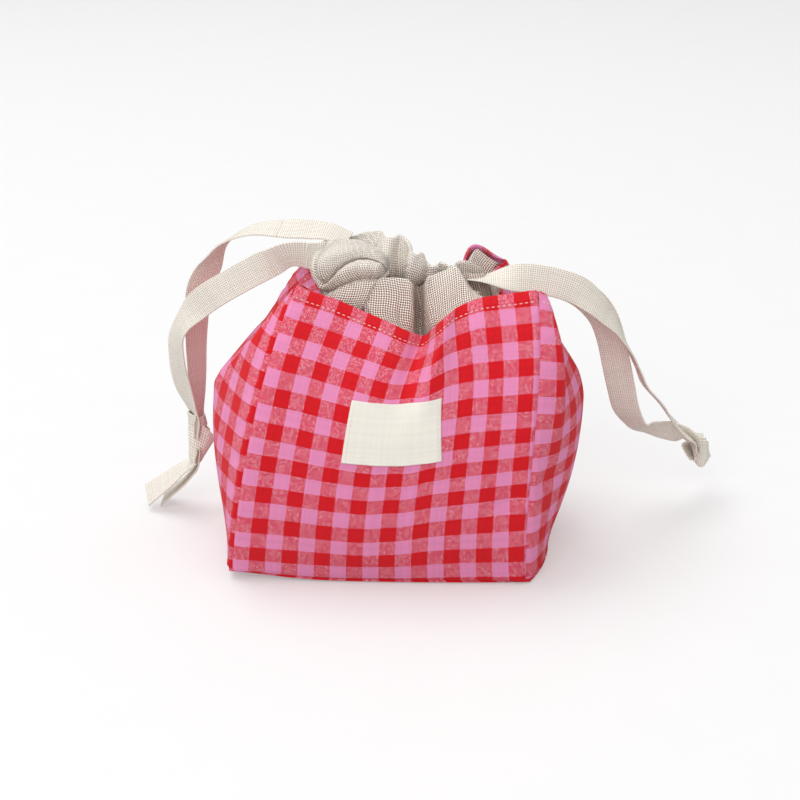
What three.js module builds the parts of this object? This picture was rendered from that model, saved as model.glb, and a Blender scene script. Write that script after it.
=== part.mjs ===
// A drawstring project bag: a soft gingham box with a canvas lining, a gathered canvas collar in two
// halves and two drawtapes that run through the collar's casings and end in knots.
// Millimetres, +Z up. The front faces -Y, and the origin is the middle of the underside.
import * as THREE from 'three';

// Body of the bag
const BASE_WIDTH = 180;
const BASE_DEPTH = 120;
const WALL_HEIGHT = 176;
const OUTER_CLOTH = 1.2;
const LINING_CLOTH = 1.0;
const LAYER_GAP = 0.4;
const SEAM_GAP = 0.8;
const LINING_DROP = 6;

// Label on the front panel
const LABEL_WIDTH = 56;
const LABEL_HEIGHT = 40;
const LABEL_CLOTH = 0.5;
const LABEL_CENTRE_HEIGHT = 101;

// Gathered collar: a skirt sewn round the mouth in two halves, with a casing on each
const COLLAR_CLOTH = 1.0;
const SKIRT_DROP = 3.8;
const SKIRT_PUFF = 2;
const SKIRT_ENDS_APART = { left: 4, right: 12.5 };
const SKIRT_GAP = 1.2;
const CASING_HEIGHT = 21;
const CASING_HALVES_APART = 10;
const PLEAT_DEPTH = 4;
const PLEATS = 3;

// Drawtapes
const TAPE_WIDTH = 16;
const TAPE_THICKNESS = 1.2;
const TAPE_CLEARANCE = 0.7;
const TAPE_GAP = 0.4;
const KNOT_LENGTH = 30;
const KNOT_WIDTH = 18;
const KNOT_DEPTH = 14;
const CASING_EXIT = 4;
const KNOT_ENTRY = 8;
const KNOT_EXIT = 4;
const LOOP_PIVOT_AT = 20;

// Facets across and up each wall, along the collar, and along a tape
const WALL_COLUMNS = 10;
const WALL_ROWS = 9;
const LABEL_COLUMNS = 6;
const LABEL_ROWS = 4;
const COLLAR_STEPS = 24;
const TAPE_STEP = 12;

// How full each wall is between its seams: a high power is a full curve, a low one a fold. At the top edge
// each wall has one power before its middle and one after it.
const FULLNESS_AT_BASE = 2.4;
const INSET_FADE = 0.2;

// Corner seams and the middle line of each wall, as cubic curves. side says which corner or wall of the
// base the curve starts at, and each point gives the way from there in X and Y, and its height as a
// share of WALL_HEIGHT. The walls swell above the base and are drawn in at the mouth.
const SEAMS = {
  frontLeft: seamCurve([-1, -1], [[0, 0, 0], [6, -19, 0.364], [20, -2, 0.761], [34.5, 45, 1]]),
  frontRight: seamCurve([1, -1], [[0, 0, 0], [-6, -18, 0.341], [4, -6, 0.75], [7.5, 38, 0.991]]),
  backRight: seamCurve([1, 1], [[0, 0, 0], [2, 12, 0.352], [2, 10, 0.773], [-15, -14, 0.98]]),
  backLeft: seamCurve([-1, 1], [[0, 0, 0], [2, 12, 0.352], [14, 6, 0.773], [41, -28, 0.994]]),
};
const FOLDS = {
  front: seamCurve([0, -1], [[0, -2, 0], [2, -26, 0.284], [10, -22, 0.693], [27, 30, 0.858]]),
  right: seamCurve([1, 0], [[8, 0, 0], [27, 0, 0.284], [60, 2, 0.784], [-22, 12, 0.926]]),
  back: seamCurve([0, 1], [[0, 2, 0], [2, 20, 0.295], [8, 18, 0.716], [14, -34, 0.886]]),
  left: seamCurve([-1, 0], [[-4, 0, 0], [-13, 0, 0.341], [-32, 2, 0.784], [48, 6, 0.909]]),
};
const WALLS = {
  front: { from: 'frontLeft', to: 'frontRight', before: 'left', after: 'right', fullness: [1.2, 0.85] },
  right: { from: 'frontRight', to: 'backRight', before: 'front', after: 'back', fullness: [1.5, 1.5] },
  back: { from: 'backRight', to: 'backLeft', before: 'right', after: 'left', fullness: [1.5, 1.5] },
  left: { from: 'backLeft', to: 'frontLeft', before: 'back', after: 'front', fullness: [1.5, 1.5] },
};

// The ear at the back right corner: where each wall's top edge is pushed off its curve, and how far. The
// push starts at a level of the wall and is greatest at its edge.
const EAR_FROM = 0.7;
const EAR = {
  back: { first: 0, last: 0.26, push: [-3, 3, 9] },
  right: { first: 0.7, last: 1, push: [-6, 0, 0] },
};

// How far the collar rises above the middle of each wall's top edge before the casing starts, and how far
// the casing leans in. At the casings' ends it is also drawn in from the wall's edge, and in their middles
// it stands a way apart from the closed mouth's line between those ends.
const NECK = {
  left: { rise: 16.5, draw: -1.4, lean: 1 },
  right: { rise: 1, draw: 3.6, lean: 1 },
  front: { rise: 7, apart: 30.2, lean: 9 },
  back: { rise: 21, apart: 12.6, lean: 7 },
};

// The share of each casing half's length that gathers the cloth beside a corner, round to the side
const CORNER_SHARE = 0.13;

// Hand-chosen centre points of the free tapes. Each gives the way from the middle of its side's casing ends
// in X and Y, its height as a share of theirs, and the angle of the tape's width in the XZ plane, in
// degrees. A leg starts at its casing's end and runs into its knot, where a tail comes out.
const LEGS = {
  left_front: [
    [-9.1, -5.2, 1.005, 84], [-17.1, -4.6, 0.997, 86], [-35.1, -3.2, 0.947, 96], [-50.4, -1.2, 0.898, 106],
    [-63.6, 1.8, 0.848, 118], [-75.1, 5.8, 0.791, 134], [-83.9, 9.8, 0.722, 158], [-88.1, 13.8, 0.636, 178],
    [-87.6, 17.8, 0.540, 184], [-82.1, 22.3, 0.455, 178],
  ],
  left_back: [
    [-9.1, 7.2, 1.027, 84], [-17.1, 9.8, 1.043, 86], [-31.7, 13.8, 1.048, 92], [-47.1, 17.8, 1.021, 112],
    [-60.1, 22.8, 0.971, 130], [-69.1, 26.8, 0.901, 146], [-75.6, 29.8, 0.813, 160],
    [-78.6, 31.3, 0.709, 172], [-79.1, 30.8, 0.599, 180], [-77.1, 29.3, 0.471, 178],
  ],
  right_front: [
    [11.0, -7.2, 1.009, 94], [23.0, -8.3, 1.005, 92], [41.5, -8.2, 0.977, 76], [56.5, -5.7, 0.940, 66],
    [70.8, -0.7, 0.877, 52], [82.0, 5.8, 0.791, 36], [92.0, 14.8, 0.685, 20], [103.0, 24.8, 0.556, 12],
    [116.0, 34.8, 0.436, 16], [124.0, 41.8, 0.350, 34],
  ],
  right_back: [
    [11.0, 4.3, 1.003, 94], [23.0, 5.4, 0.995, 92], [42.5, 6.8, 0.960, 74], [58.5, 8.8, 0.905, 56],
    [70.0, 12.3, 0.831, 36], [77.5, 16.8, 0.739, 18], [82.5, 22.3, 0.625, 6], [87.5, 28.8, 0.504, 0],
    [95.5, 35.8, 0.398, -20], [109.5, 43.3, 0.327, -58], [120.0, 47.8, 0.301, -80],
  ],
};
const TAILS = {
  left_upper: [[-92.1, 27.3, 0.144, 136], [-104.1, 29.8, 0.094, 133], [-115.1, 32.3, 0.053, 131]],
  left_lower: [[-90.1, 31.3, 0.131, 136], [-102.1, 34.8, 0.078, 133], [-112.6, 36.8, 0.040, 131]],
  right_upper: [[159.4, 65.2, 0.096, 50]],
  right_lower: [[157.8, 67.6, 0.094, 50]],
};
const KNOTS = {
  left: { at: [-78.1, 26.8, 0.283], along: [-0.13, 0.05, -1], faces: [0.2, -1, 0] },
  right: { at: [145.0, 57.3, 0.192], along: [0.66, 0.42, -0.72], faces: [0.2, -1, 0.3] },
};

const CLOTH = { gingham: 0xd9485f, canvas: 0xd8cfbf, tape: 0xe2d8c8, label: 0xefe6d6 };

// A cubic seam or fold line that starts on the base outline
function seamCurve([sideX, sideY], points) {
  const startX = (sideX * BASE_WIDTH) / 2;
  const startY = (sideY * BASE_DEPTH) / 2;
  const place = ([x, y, share]) => new THREE.Vector3(startX + x, startY + y, share * WALL_HEIGHT);
  return new THREE.CubicBezierCurve3(...points.map(place));
}

// A point on the outside of a wall: u runs from its first seam to its second, t from base to top edge
function wallPoint(side, u, t) {
  const { from, to, fullness: [before, after] } = WALLS[side];
  const start = SEAMS[from].getPoint(t);
  const end = SEAMS[to].getPoint(t);
  const middle = start.clone().lerp(end, 0.5);
  const fullness = THREE.MathUtils.lerp(FULLNESS_AT_BASE, u < 0.5 ? before : after, t);
  const swell = 1 - Math.abs(2 * u - 1) ** fullness;
  const bulge = FOLDS[side].getPoint(t).sub(middle).multiplyScalar(swell);
  return start.lerp(end, u).add(bulge).add(earPush(side, u, t));
}

function earPush(side, u, t) {
  const { first, last, push } = EAR[side] ?? { first: 0, last: 1, push: [0, 0, 0] };
  const along = THREE.MathUtils.clamp((u - first) / (last - first), 0, 1);
  const strength = Math.sin(Math.PI * along) ** 2 * THREE.MathUtils.smoothstep(t, EAR_FROM, 1);
  return new THREE.Vector3(...push).multiplyScalar(strength);
}

// The outward normal of a wall
function wallNormal(side, u, t) {
  const step = 0.004;
  const across = wallPoint(side, Math.min(u + step, 1), t).sub(wallPoint(side, Math.max(u - step, 0), t));
  const up = wallPoint(side, u, Math.min(t + step, 1)).sub(wallPoint(side, u, Math.max(t - step, 0)));
  return across.cross(up).normalize();
}

// The share of a wall's width that a layer gives up at a seam: half of the seam's gap, and at a depth
// under the outside also the room for the next wall's layer, so that the two mitre. Both are measured
// square to the seam.
function seamInset(side, end, t, depth) {
  const { before, after, from, to } = WALLS[side];
  const neighbour = end === 0 ? wallNormal(before, 1, t) : wallNormal(after, 0, t);
  const turn = wallNormal(side, end, t).angleTo(neighbour);
  const step = 0.004;
  const across = wallPoint(side, Math.abs(end - step), t).sub(wallPoint(side, end, t)).divideScalar(step);
  const width = across.projectOnPlane(SEAMS[end === 0 ? from : to].getTangent(t)).length();
  return (SEAM_GAP / 2 + depth * Math.tan(turn / 2)) / width;
}

// A point at a depth under the outside of a wall. The insets fade out a little way in from the seams,
// so that away from them the layers lie straight under each other.
function wallLayer(side, u, t, depth) {
  const first = seamInset(side, 0, t, depth) * Math.max(0, 1 - u / INSET_FADE);
  const last = seamInset(side, 1, t, depth) * Math.max(0, 1 - (1 - u) / INSET_FADE);
  const place = u + first - last;
  return wallPoint(side, place, t).addScaledVector(wallNormal(side, place, t), -depth);
}

// A closed geometry from points and triangles
function solidGeometry(points, triangles) {
  const geometry = new THREE.BufferGeometry();
  const values = points.flatMap((point) => point.toArray());
  geometry.setAttribute('position', new THREE.Float32BufferAttribute(values, 3));
  geometry.setIndex(triangles);
  geometry.computeVertexNormals();
  return geometry;
}

// The two triangles of a four-sided facet
function facet(a, b, c, d) {
  return [a, b, c, a, c, d];
}

// A sheet of cloth between two faces of the same grid. Each face is a function of a column and a row,
// and columns to rows turn left to right and up when the outer face is looked at.
function sheet(columns, rows, outerFace, innerFace) {
  const points = [];
  const triangles = [];
  const index = (layer, column, row) => (layer * (rows + 1) + row) * (columns + 1) + column;
  for (const face of [outerFace, innerFace]) {
    for (let row = 0; row <= rows; row += 1) {
      for (let column = 0; column <= columns; column += 1) {
        points.push(face(column, row));
      }
    }
  }
  for (let row = 0; row < rows; row += 1) {
    for (let column = 0; column < columns; column += 1) {
      const [right, above] = [column + 1, row + 1];
      const corners = [[column, row], [right, row], [right, above], [column, above]];
      const turned = [[column, row], [column, above], [right, above], [right, row]];
      triangles.push(...facet(...corners.map(([c, r]) => index(0, c, r))));
      triangles.push(...facet(...turned.map(([c, r]) => index(1, c, r))));
    }
  }
  for (let column = 0; column < columns; column += 1) {
    const [a, b] = [index(0, column, 0), index(0, column + 1, 0)];
    triangles.push(...facet(index(1, column, 0), index(1, column + 1, 0), b, a));
    const [c, d] = [index(0, column, rows), index(0, column + 1, rows)];
    triangles.push(...facet(c, d, index(1, column + 1, rows), index(1, column, rows)));
  }
  for (let row = 0; row < rows; row += 1) {
    const [a, b] = [index(0, 0, row), index(0, 0, row + 1)];
    triangles.push(...facet(a, b, index(1, 0, row + 1), index(1, 0, row)));
    const [c, d] = [index(0, columns, row), index(0, columns, row + 1)];
    triangles.push(...facet(index(1, columns, row), index(1, columns, row + 1), d, c));
  }
  return solidGeometry(points, triangles);
}

// A loft through rings of the same number of points, each ring turning anticlockwise when looked at
// from the loft's far end, with flat ends
function loft(rings) {
  const sides = rings[0].length;
  const triangles = [];
  for (let ring = 0; ring + 1 < rings.length; ring += 1) {
    for (let side = 0; side < sides; side += 1) {
      const next = (side + 1) % sides;
      const [here, there] = [ring * sides, (ring + 1) * sides];
      triangles.push(...facet(here + side, here + next, there + next, there + side));
    }
  }
  const far = (rings.length - 1) * sides;
  for (let side = 1; side + 1 < sides; side += 1) {
    triangles.push(0, side + 1, side);
    triangles.push(far, far + side, far + side + 1);
  }
  return solidGeometry(rings.flat(), triangles);
}

// Levels of the walls' facets: the lining's foot and top edge and the skirt's foot each lie on one
const OUTER_BUILD = OUTER_CLOTH + LAYER_GAP;
const WALL_BUILD = OUTER_BUILD + LINING_CLOTH;
const LINING_FOOT = levelAtHeight(OUTER_BUILD + LAYER_GAP);
const LINING_TOP = 1 - LINING_DROP / WALL_HEIGHT;
const SKIRT_FOOT = 1 - SKIRT_DROP / WALL_HEIGHT;
const LINING_LEVELS = evenSteps(LINING_FOOT, LINING_TOP, WALL_ROWS);
const OUTER_LEVELS = [0, ...LINING_LEVELS, SKIRT_FOOT, 1];

function evenSteps(first, last, count) {
  return Array.from({ length: count + 1 }, (_, step) => first + ((last - first) * step) / count);
}

// The level t at which the front wall's middle reaches a height close to the base
function levelAtHeight(height) {
  let level = 0;
  while (FOLDS.front.getPoint(level).z < height) {
    level += 0.001;
  }
  return level;
}

// One cloth panel of a wall, between two depths under the outside
function wallPanel(side, levels, depth, cloth) {
  const columns = evenSteps(0, 1, WALL_COLUMNS);
  const outerFace = (column, row) => wallLayer(side, columns[column], levels[row], depth);
  const innerFace = (column, row) => wallLayer(side, columns[column], levels[row], depth + cloth);
  return sheet(WALL_COLUMNS, levels.length - 1, outerFace, innerFace);
}

// A flat base panel that fits inside the walls at one level and depth
function basePanel(level, depth, height, cloth) {
  const outline = new THREE.Shape();
  const points = Object.keys(WALLS).flatMap((side) => evenSteps(0, 1, WALL_COLUMNS).slice(0, -1)
    .map((u) => wallLayer(side, u, level, depth)));
  outline.setFromPoints(points.map((point) => new THREE.Vector2(point.x, point.y)));
  const geometry = new THREE.ExtrudeGeometry(outline, { depth: cloth, bevelEnabled: false });
  return geometry.translate(0, 0, height);
}

// The label lies on the front panel, a layer's gap outside it
function labelPatch() {
  const frontWidth = wallPoint('front', 0, 0.5).distanceTo(wallPoint('front', 1, 0.5));
  const frontLength = FOLDS.front.getLength();
  const halfAcross = LABEL_WIDTH / frontWidth / 2;
  const halfUp = LABEL_HEIGHT / frontLength / 2;
  const middle = levelAtHeight(LABEL_CENTRE_HEIGHT);
  const across = evenSteps(0.5 - halfAcross, 0.5 + halfAcross, LABEL_COLUMNS);
  const up = evenSteps(middle - halfUp, middle + halfUp, LABEL_ROWS);
  const outerFace = (column, row) => wallLayer('front', across[column], up[row], -LAYER_GAP - LABEL_CLOTH);
  const innerFace = (column, row) => wallLayer('front', across[column], up[row], -LAYER_GAP);
  return sheet(LABEL_COLUMNS, LABEL_ROWS, outerFace, innerFace);
}

// Casing sizes: a channel for two tapes face to face, between two layers of cloth
const CHANNEL_HALF = TAPE_THICKNESS + TAPE_GAP + TAPE_GAP / 2;
const CASING_HALF = CHANNEL_HALF + COLLAR_CLOTH;
const CHANNEL_MARGIN = (CASING_HEIGHT - TAPE_WIDTH) / 2 - TAPE_CLEARANCE;

// Neck and casing top of the collar, leaning inward from the neck
function collarPost(neck, inward, lean) {
  const height = Math.sqrt(CASING_HEIGHT ** 2 - lean ** 2);
  const top = neck.clone().addScaledVector(inward, lean).add(new THREE.Vector3(0, 0, height));
  return { neck, top };
}

function endPost(side) {
  const { rise, draw, lean } = NECK[side];
  const inward = wallNormal(side, 0.5, 1).setZ(0).normalize().negate();
  const neck = wallPoint(side, 0.5, 1).addScaledVector(inward, draw).add(new THREE.Vector3(0, 0, rise));
  return collarPost(neck, inward, lean);
}

const ENDS = { left: endPost('left'), right: endPost('right') };

function middlePost(half) {
  const { rise, apart, lean } = NECK[half];
  const inward = new THREE.Vector3(0, half === 'front' ? 1 : -1, 0);
  const edge = wallPoint(half, 0.5, 1);
  const mouth = ENDS.left.neck.clone().lerp(ENDS.right.neck, 0.5);
  const neck = new THREE.Vector3(edge.x, mouth.y, edge.z + rise).addScaledVector(inward, -apart);
  return collarPost(neck, inward, lean);
}

const POSTS = { ...ENDS, front: middlePost('front'), back: middlePost('back') };

// A point on the neck or the top of a casing, from its left end to its right end past the wall's middle
function collarRail(half, line, s) {
  const apart = new THREE.Vector3(0, ((half === 'front' ? -1 : 1) * CASING_HALVES_APART) / 2, 0);
  const chord = POSTS.left[line].clone().lerp(POSTS.right[line], s).add(apart);
  const middle = POSTS.left[line].clone().lerp(POSTS.right[line], 0.5).add(apart);
  const bow = POSTS[half][line].clone().sub(middle);
  return chord.addScaledVector(bow, Math.sin(Math.PI * s) ** 2);
}

// Frame of a casing's section at s: neck and top with the pleats, the way up and the thickness direction
function collarSection(half, s) {
  const step = 0.002;
  const ahead = collarRail(half, 'neck', Math.min(s + step, 1));
  const along = ahead.sub(collarRail(half, 'neck', Math.max(s - step, 0)));
  const across = new THREE.Vector3(along.y, -along.x, 0).normalize();
  const inward = half === 'front' ? -1 : 1;
  const pleat = inward * PLEAT_DEPTH * Math.sin(Math.PI * PLEATS * s) ** 2;
  const neck = collarRail(half, 'neck', s).addScaledVector(across, pleat);
  const top = collarRail(half, 'top', s).addScaledVector(across, pleat);
  const up = top.clone().sub(neck).normalize();
  return { neck, top, up, across };
}

// The outlines of the casing's section and of its channel: height shares and half the thickness there
const SECTION_OUTSIDE = [[0, COLLAR_CLOTH], [0.06, CASING_HALF], [0.5, CASING_HALF], [0.94, CASING_HALF],
  [1, COLLAR_CLOTH]];
const CHANNEL_LOW = CHANNEL_MARGIN / CASING_HEIGHT;
const SECTION_CHANNEL = [[CHANNEL_LOW, CHANNEL_HALF], [0.5, CHANNEL_HALF], [1 - CHANNEL_LOW, CHANNEL_HALF]];

function sectionPoint({ neck, top, across }, height, offset) {
  return neck.clone().lerp(top, height).addScaledVector(across, offset);
}

function sectionRing(section, outline) {
  const outside = outline.map(([height, half]) => sectionPoint(section, height, half));
  const inside = outline.map(([height, half]) => sectionPoint(section, height, -half)).reverse();
  return [...outside, ...inside];
}

// One casing, with a channel right through it
function casing(half) {
  const sections = evenSteps(0, 1, COLLAR_STEPS).map((s) => collarSection(half, s));
  const skins = sections.map((section) => sectionRing(section, SECTION_OUTSIDE));
  const channels = sections.map((section) => sectionRing(section, SECTION_CHANNEL));
  const points = [...skins.flat(), ...channels.flat()];
  const triangles = [];
  const skinSides = skins[0].length;
  const channelSides = channels[0].length;
  const channelStart = skins.length * skinSides;
  for (let step = 0; step < COLLAR_STEPS; step += 1) {
    for (let side = 0; side < skinSides; side += 1) {
      const next = (side + 1) % skinSides;
      const [here, there] = [step * skinSides, (step + 1) * skinSides];
      triangles.push(...facet(here + side, there + side, there + next, here + next));
    }
    for (let side = 0; side < channelSides; side += 1) {
      const next = (side + 1) % channelSides;
      const here = channelStart + step * channelSides;
      const there = here + channelSides;
      triangles.push(...facet(here + side, here + next, there + next, there + side));
    }
  }
  const flat = (outline) => [...outline.map(([h, w]) => new THREE.Vector2(w, h)),
    ...outline.map(([h, w]) => new THREE.Vector2(-w, h)).reverse()];
  const cap = THREE.ShapeUtils.triangulateShape(flat(SECTION_OUTSIDE), [flat(SECTION_CHANNEL)]);
  for (const [step, facing] of [[0, 1], [COLLAR_STEPS, -1]]) {
    const place = (corner) => (corner < skinSides
      ? step * skinSides + corner
      : channelStart + step * channelSides + corner - skinSides);
    for (const [a, b, c] of cap) {
      const corners = [place(a), place(b), place(c)];
      triangles.push(...(facing > 0 ? corners : corners.reverse()));
    }
  }
  return solidGeometry(points, triangles);
}

// The columns of a skirt, in line with those of the walls, from the middle of the wall before it to the
// middle of the wall after it. Each has its share of the casing's length and its places on the mouth,
// two of them at a corner.
function skirtColumns(half) {
  const { before, after } = WALLS[half];
  const topWidth = (side) => wallPoint(side, 0, 1).distanceTo(wallPoint(side, 1, 1));
  const fromMiddle = (side, k) => Math.max(k, SKIRT_ENDS_APART[side] / 2 / topWidth(side));
  const sideSteps = evenSteps(0, 0.5, WALL_COLUMNS / 2).slice(0, -1);
  const ownSteps = evenSteps(0, 1, WALL_COLUMNS).slice(1, -1);
  const beside = (k) => k * 2 * CORNER_SHARE;
  const ownShare = 1 - 2 * CORNER_SHARE;
  const first = sideSteps.map((k) => ({ share: beside(k), on: [[before, 0.5 + fromMiddle(before, k)]] }));
  const last = sideSteps.map((k) => ({ share: 1 - beside(k), on: [[after, 0.5 - fromMiddle(after, k)]] }));
  return [
    ...first,
    { share: CORNER_SHARE, on: [[before, 1], [half, 0]] },
    ...ownSteps.map((k) => ({ share: CORNER_SHARE + k * ownShare, on: [[half, k]] })),
    { share: 1 - CORNER_SHARE, on: [[half, 1], [after, 0]] },
    ...last.reverse(),
  ];
}

// Half of the collar's skirt: sewn under the mouth's edge above the lining, and gathered up to its casing.
// Its two faces lie along the wall at the mouth, and stand off its middle surface above that.
function skirt(half) {
  const columns = skirtColumns(half);
  const mouthPoint = ({ on }, level, depth) => on
    .map(([side, u]) => wallLayer(side, u, level, depth))
    .reduce((sum, point) => sum.addScaledVector(point, 1 / on.length), new THREE.Vector3());
  const neckPoint = ({ share }) => {
    const section = collarSection(half, half === 'front' ? share : 1 - share);
    return section.neck.clone().addScaledVector(section.up, -SKIRT_GAP);
  };
  const middle = columns.map((column) => {
    const edge = mouthPoint(column, 1, OUTER_BUILD + COLLAR_CLOTH / 2);
    const neck = neckPoint(column);
    const puff = SKIRT_PUFF * Math.sin(Math.PI * column.share);
    return [edge, edge.clone().lerp(neck, 0.5).add(new THREE.Vector3(0, 0, puff)), neck];
  });
  const beside = (list, place, way) => list[THREE.MathUtils.clamp(place + way, 0, list.length - 1)];
  const standOff = (column, row, offset) => {
    const across = beside(middle, column, 1)[row].clone().sub(beside(middle, column, -1)[row]);
    const up = beside(middle[column], row, 1).clone().sub(beside(middle[column], row, -1));
    return middle[column][row].clone().addScaledVector(across.cross(up).normalize(), offset);
  };
  const face = (depth, offset) => (column, row) => {
    const levels = [SKIRT_FOOT, 1];
    return row < levels.length
      ? mouthPoint(columns[column], levels[row], depth)
      : standOff(column, row - 1, offset);
  };
  const outside = face(OUTER_BUILD, COLLAR_CLOTH / 2);
  const inside = face(OUTER_BUILD + COLLAR_CLOTH, -COLLAR_CLOTH / 2);
  return sheet(columns.length - 1, 3, outside, inside);
}

// The ring of a flat tape's section, with its edges rounded off
function tapeRing(centre, width, normal) {
  const edge = TAPE_WIDTH / 2;
  const face = TAPE_THICKNESS / 2;
  const ring = [[edge, -face / 2], [edge, face / 2], [edge - face, face], [face - edge, face],
    [-edge, face / 2], [-edge, -face / 2], [face - edge, -face], [edge - face, -face]];
  return ring.map(([w, n]) => centre.clone().addScaledVector(width, w).addScaledVector(normal, n));
}

// A stretch of free tape along a route of centre points and width angles, cut at two lengths along it
function freeTape(route, from = 0, to = Infinity) {
  const centres = route.map(([x, y, z]) => new THREE.Vector3(x, y, z));
  const curve = new THREE.CatmullRomCurve3(centres, false, 'centripetal');
  const length = curve.getLength();
  const end = Math.min(to, length);
  const steps = Math.max(2, Math.round((end - from) / TAPE_STEP));
  const rings = evenSteps(from / length, end / length, steps).map((share) => {
    const place = curve.getUtoTmapping(Math.min(share, 1));
    const along = curve.getTangent(place);
    const angle = angleAt(route, place);
    const width = new THREE.Vector3(Math.cos(angle), 0, Math.sin(angle)).projectOnPlane(along).normalize();
    return tapeRing(curve.getPoint(place), width, along.clone().cross(width));
  });
  return loft(rings);
}

function angleAt(route, place) {
  const point = place * (route.length - 1);
  const low = Math.min(Math.floor(point), route.length - 2);
  const angle = THREE.MathUtils.lerp(route[low][3], route[low + 1][3], point - low);
  return THREE.MathUtils.degToRad(angle);
}

// A route point of a tape from its centre and the way its width runs, with the half turn that is
// nearest to the angle of the tape beside it
function routePoint(centre, width, besideAngle) {
  const angle = THREE.MathUtils.radToDeg(Math.atan2(width.z, width.x));
  const halfTurns = Math.round((besideAngle - angle) / 180);
  return [...centre.toArray(), angle + 180 * halfTurns];
}

// A place given from the middle of one side's casing ends, with its height as a share of theirs
function fromCasing(side, [x, y, share]) {
  const middle = POSTS[side].neck.clone().lerp(POSTS[side].top, 0.5);
  return new THREE.Vector3(middle.x + x, middle.y + y, middle.z * share);
}

function chosenRoute(side, points) {
  return points.map((point) => [...fromCasing(side, point).toArray(), point[3]]);
}

// Axis, thickness and width directions of a knot
function knotFrame({ along, faces }) {
  const axis = new THREE.Vector3(...along).normalize();
  const depth = new THREE.Vector3(...faces).projectOnPlane(axis).normalize();
  return { axis, depth, width: axis.clone().cross(depth) };
}

// A route point where a tape meets a knot: outside its entry or its exit, and on the near or far layer
function knotPoint(side, end, clear, layer, besideAngle) {
  const { axis, depth, width } = knotFrame(KNOTS[side]);
  const centre = fromCasing(side, KNOTS[side].at);
  centre.addScaledVector(axis, end * (KNOT_LENGTH / 2 + clear));
  centre.addScaledVector(depth, (layer * (TAPE_THICKNESS + TAPE_GAP)) / 2);
  return routePoint(centre, width, besideAngle);
}

// A leg's whole route: out of its casing, along its chosen points and into its knot
function legRoute(side, half) {
  const chosen = chosenRoute(side, LEGS[`${side}_${half}`]);
  const section = collarSection(half, side === 'left' ? 0 : 1);
  const outward = section.up.clone().cross(section.across).multiplyScalar(side === 'left' ? -1 : 1);
  const exits = [TAPE_GAP, CASING_EXIT].map((clear) => {
    const centre = sectionPoint(section, 0.5, tapeOffset(side)).addScaledVector(outward, clear);
    return routePoint(centre, section.up, chosen[0][3]);
  });
  const layer = half === 'front' ? 1 : -1;
  const lastAngle = chosen[chosen.length - 1][3];
  return [
    ...exits,
    ...chosen,
    knotPoint(side, -1, KNOT_ENTRY, layer, lastAngle),
    knotPoint(side, -1, TAPE_GAP, layer, lastAngle),
  ];
}

function tailRoute(side, layerName) {
  const chosen = chosenRoute(side, TAILS[`${side}_${layerName}`]);
  const layer = layerName === 'upper' ? 1 : -1;
  const exits = [TAPE_GAP, KNOT_EXIT].map((clear) => knotPoint(side, 1, clear, layer, chosen[0][3]));
  return [...exits, ...chosen];
}

// The left tape lies on the outer side of both channels, the right one on the inner side
function tapeOffset(side) {
  return ((side === 'left' ? 1 : -1) * (TAPE_THICKNESS + TAPE_GAP)) / 2;
}

// The stretch of a tape inside a casing, on its own side of the channel
function casingTape(half, side) {
  const rings = evenSteps(0, 1, COLLAR_STEPS).map((s) => {
    const section = collarSection(half, s);
    return tapeRing(sectionPoint(section, 0.5, tapeOffset(side)), section.up, section.across);
  });
  return loft(rings);
}

// A knot: a plump lump along its axis, broad across its face, drawn in at both ends
const KNOT_PROFILE = [[-0.5, 0.5], [-0.36, 0.84], [-0.12, 1], [0.14, 0.96], [0.36, 0.8], [0.5, 0.46]];
const KNOT_SIDES = 12;
function knotLump(side) {
  const { axis, depth, width } = knotFrame(KNOTS[side]);
  const rings = KNOT_PROFILE.map(([share, size]) => {
    const centre = fromCasing(side, KNOTS[side].at).addScaledVector(axis, share * KNOT_LENGTH);
    return Array.from({ length: KNOT_SIDES }, (_, corner) => {
      const angle = (2 * Math.PI * corner) / KNOT_SIDES;
      const out = depth.clone().multiplyScalar((Math.cos(angle) * size * KNOT_DEPTH) / 2);
      out.addScaledVector(width, (Math.sin(angle) * size * KNOT_WIDTH) / 2);
      return centre.clone().add(out);
    });
  });
  return loft(rings);
}

const bag = new THREE.Group();

function addPiece(name, geometry, color, roughness) {
  const material = new THREE.MeshStandardMaterial({ color, roughness, metalness: 0 });
  const mesh = new THREE.Mesh(geometry, material);
  mesh.name = name;
  bag.add(mesh);
}

for (const side of Object.keys(WALLS)) {
  addPiece(`outer_${side}`, wallPanel(side, OUTER_LEVELS, 0, OUTER_CLOTH), CLOTH.gingham, 0.9);
  addPiece(`lining_${side}`, wallPanel(side, LINING_LEVELS, OUTER_BUILD, LINING_CLOTH), CLOTH.canvas, 0.95);
}
addPiece('outer_base', basePanel(0, OUTER_BUILD, 0, OUTER_CLOTH), CLOTH.gingham, 0.9);
const liningBase = basePanel(LINING_FOOT, WALL_BUILD + LAYER_GAP, OUTER_BUILD, LINING_CLOTH);
addPiece('lining_base', liningBase, CLOTH.canvas, 0.95);
addPiece('label', labelPatch(), CLOTH.label, 0.9);

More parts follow.
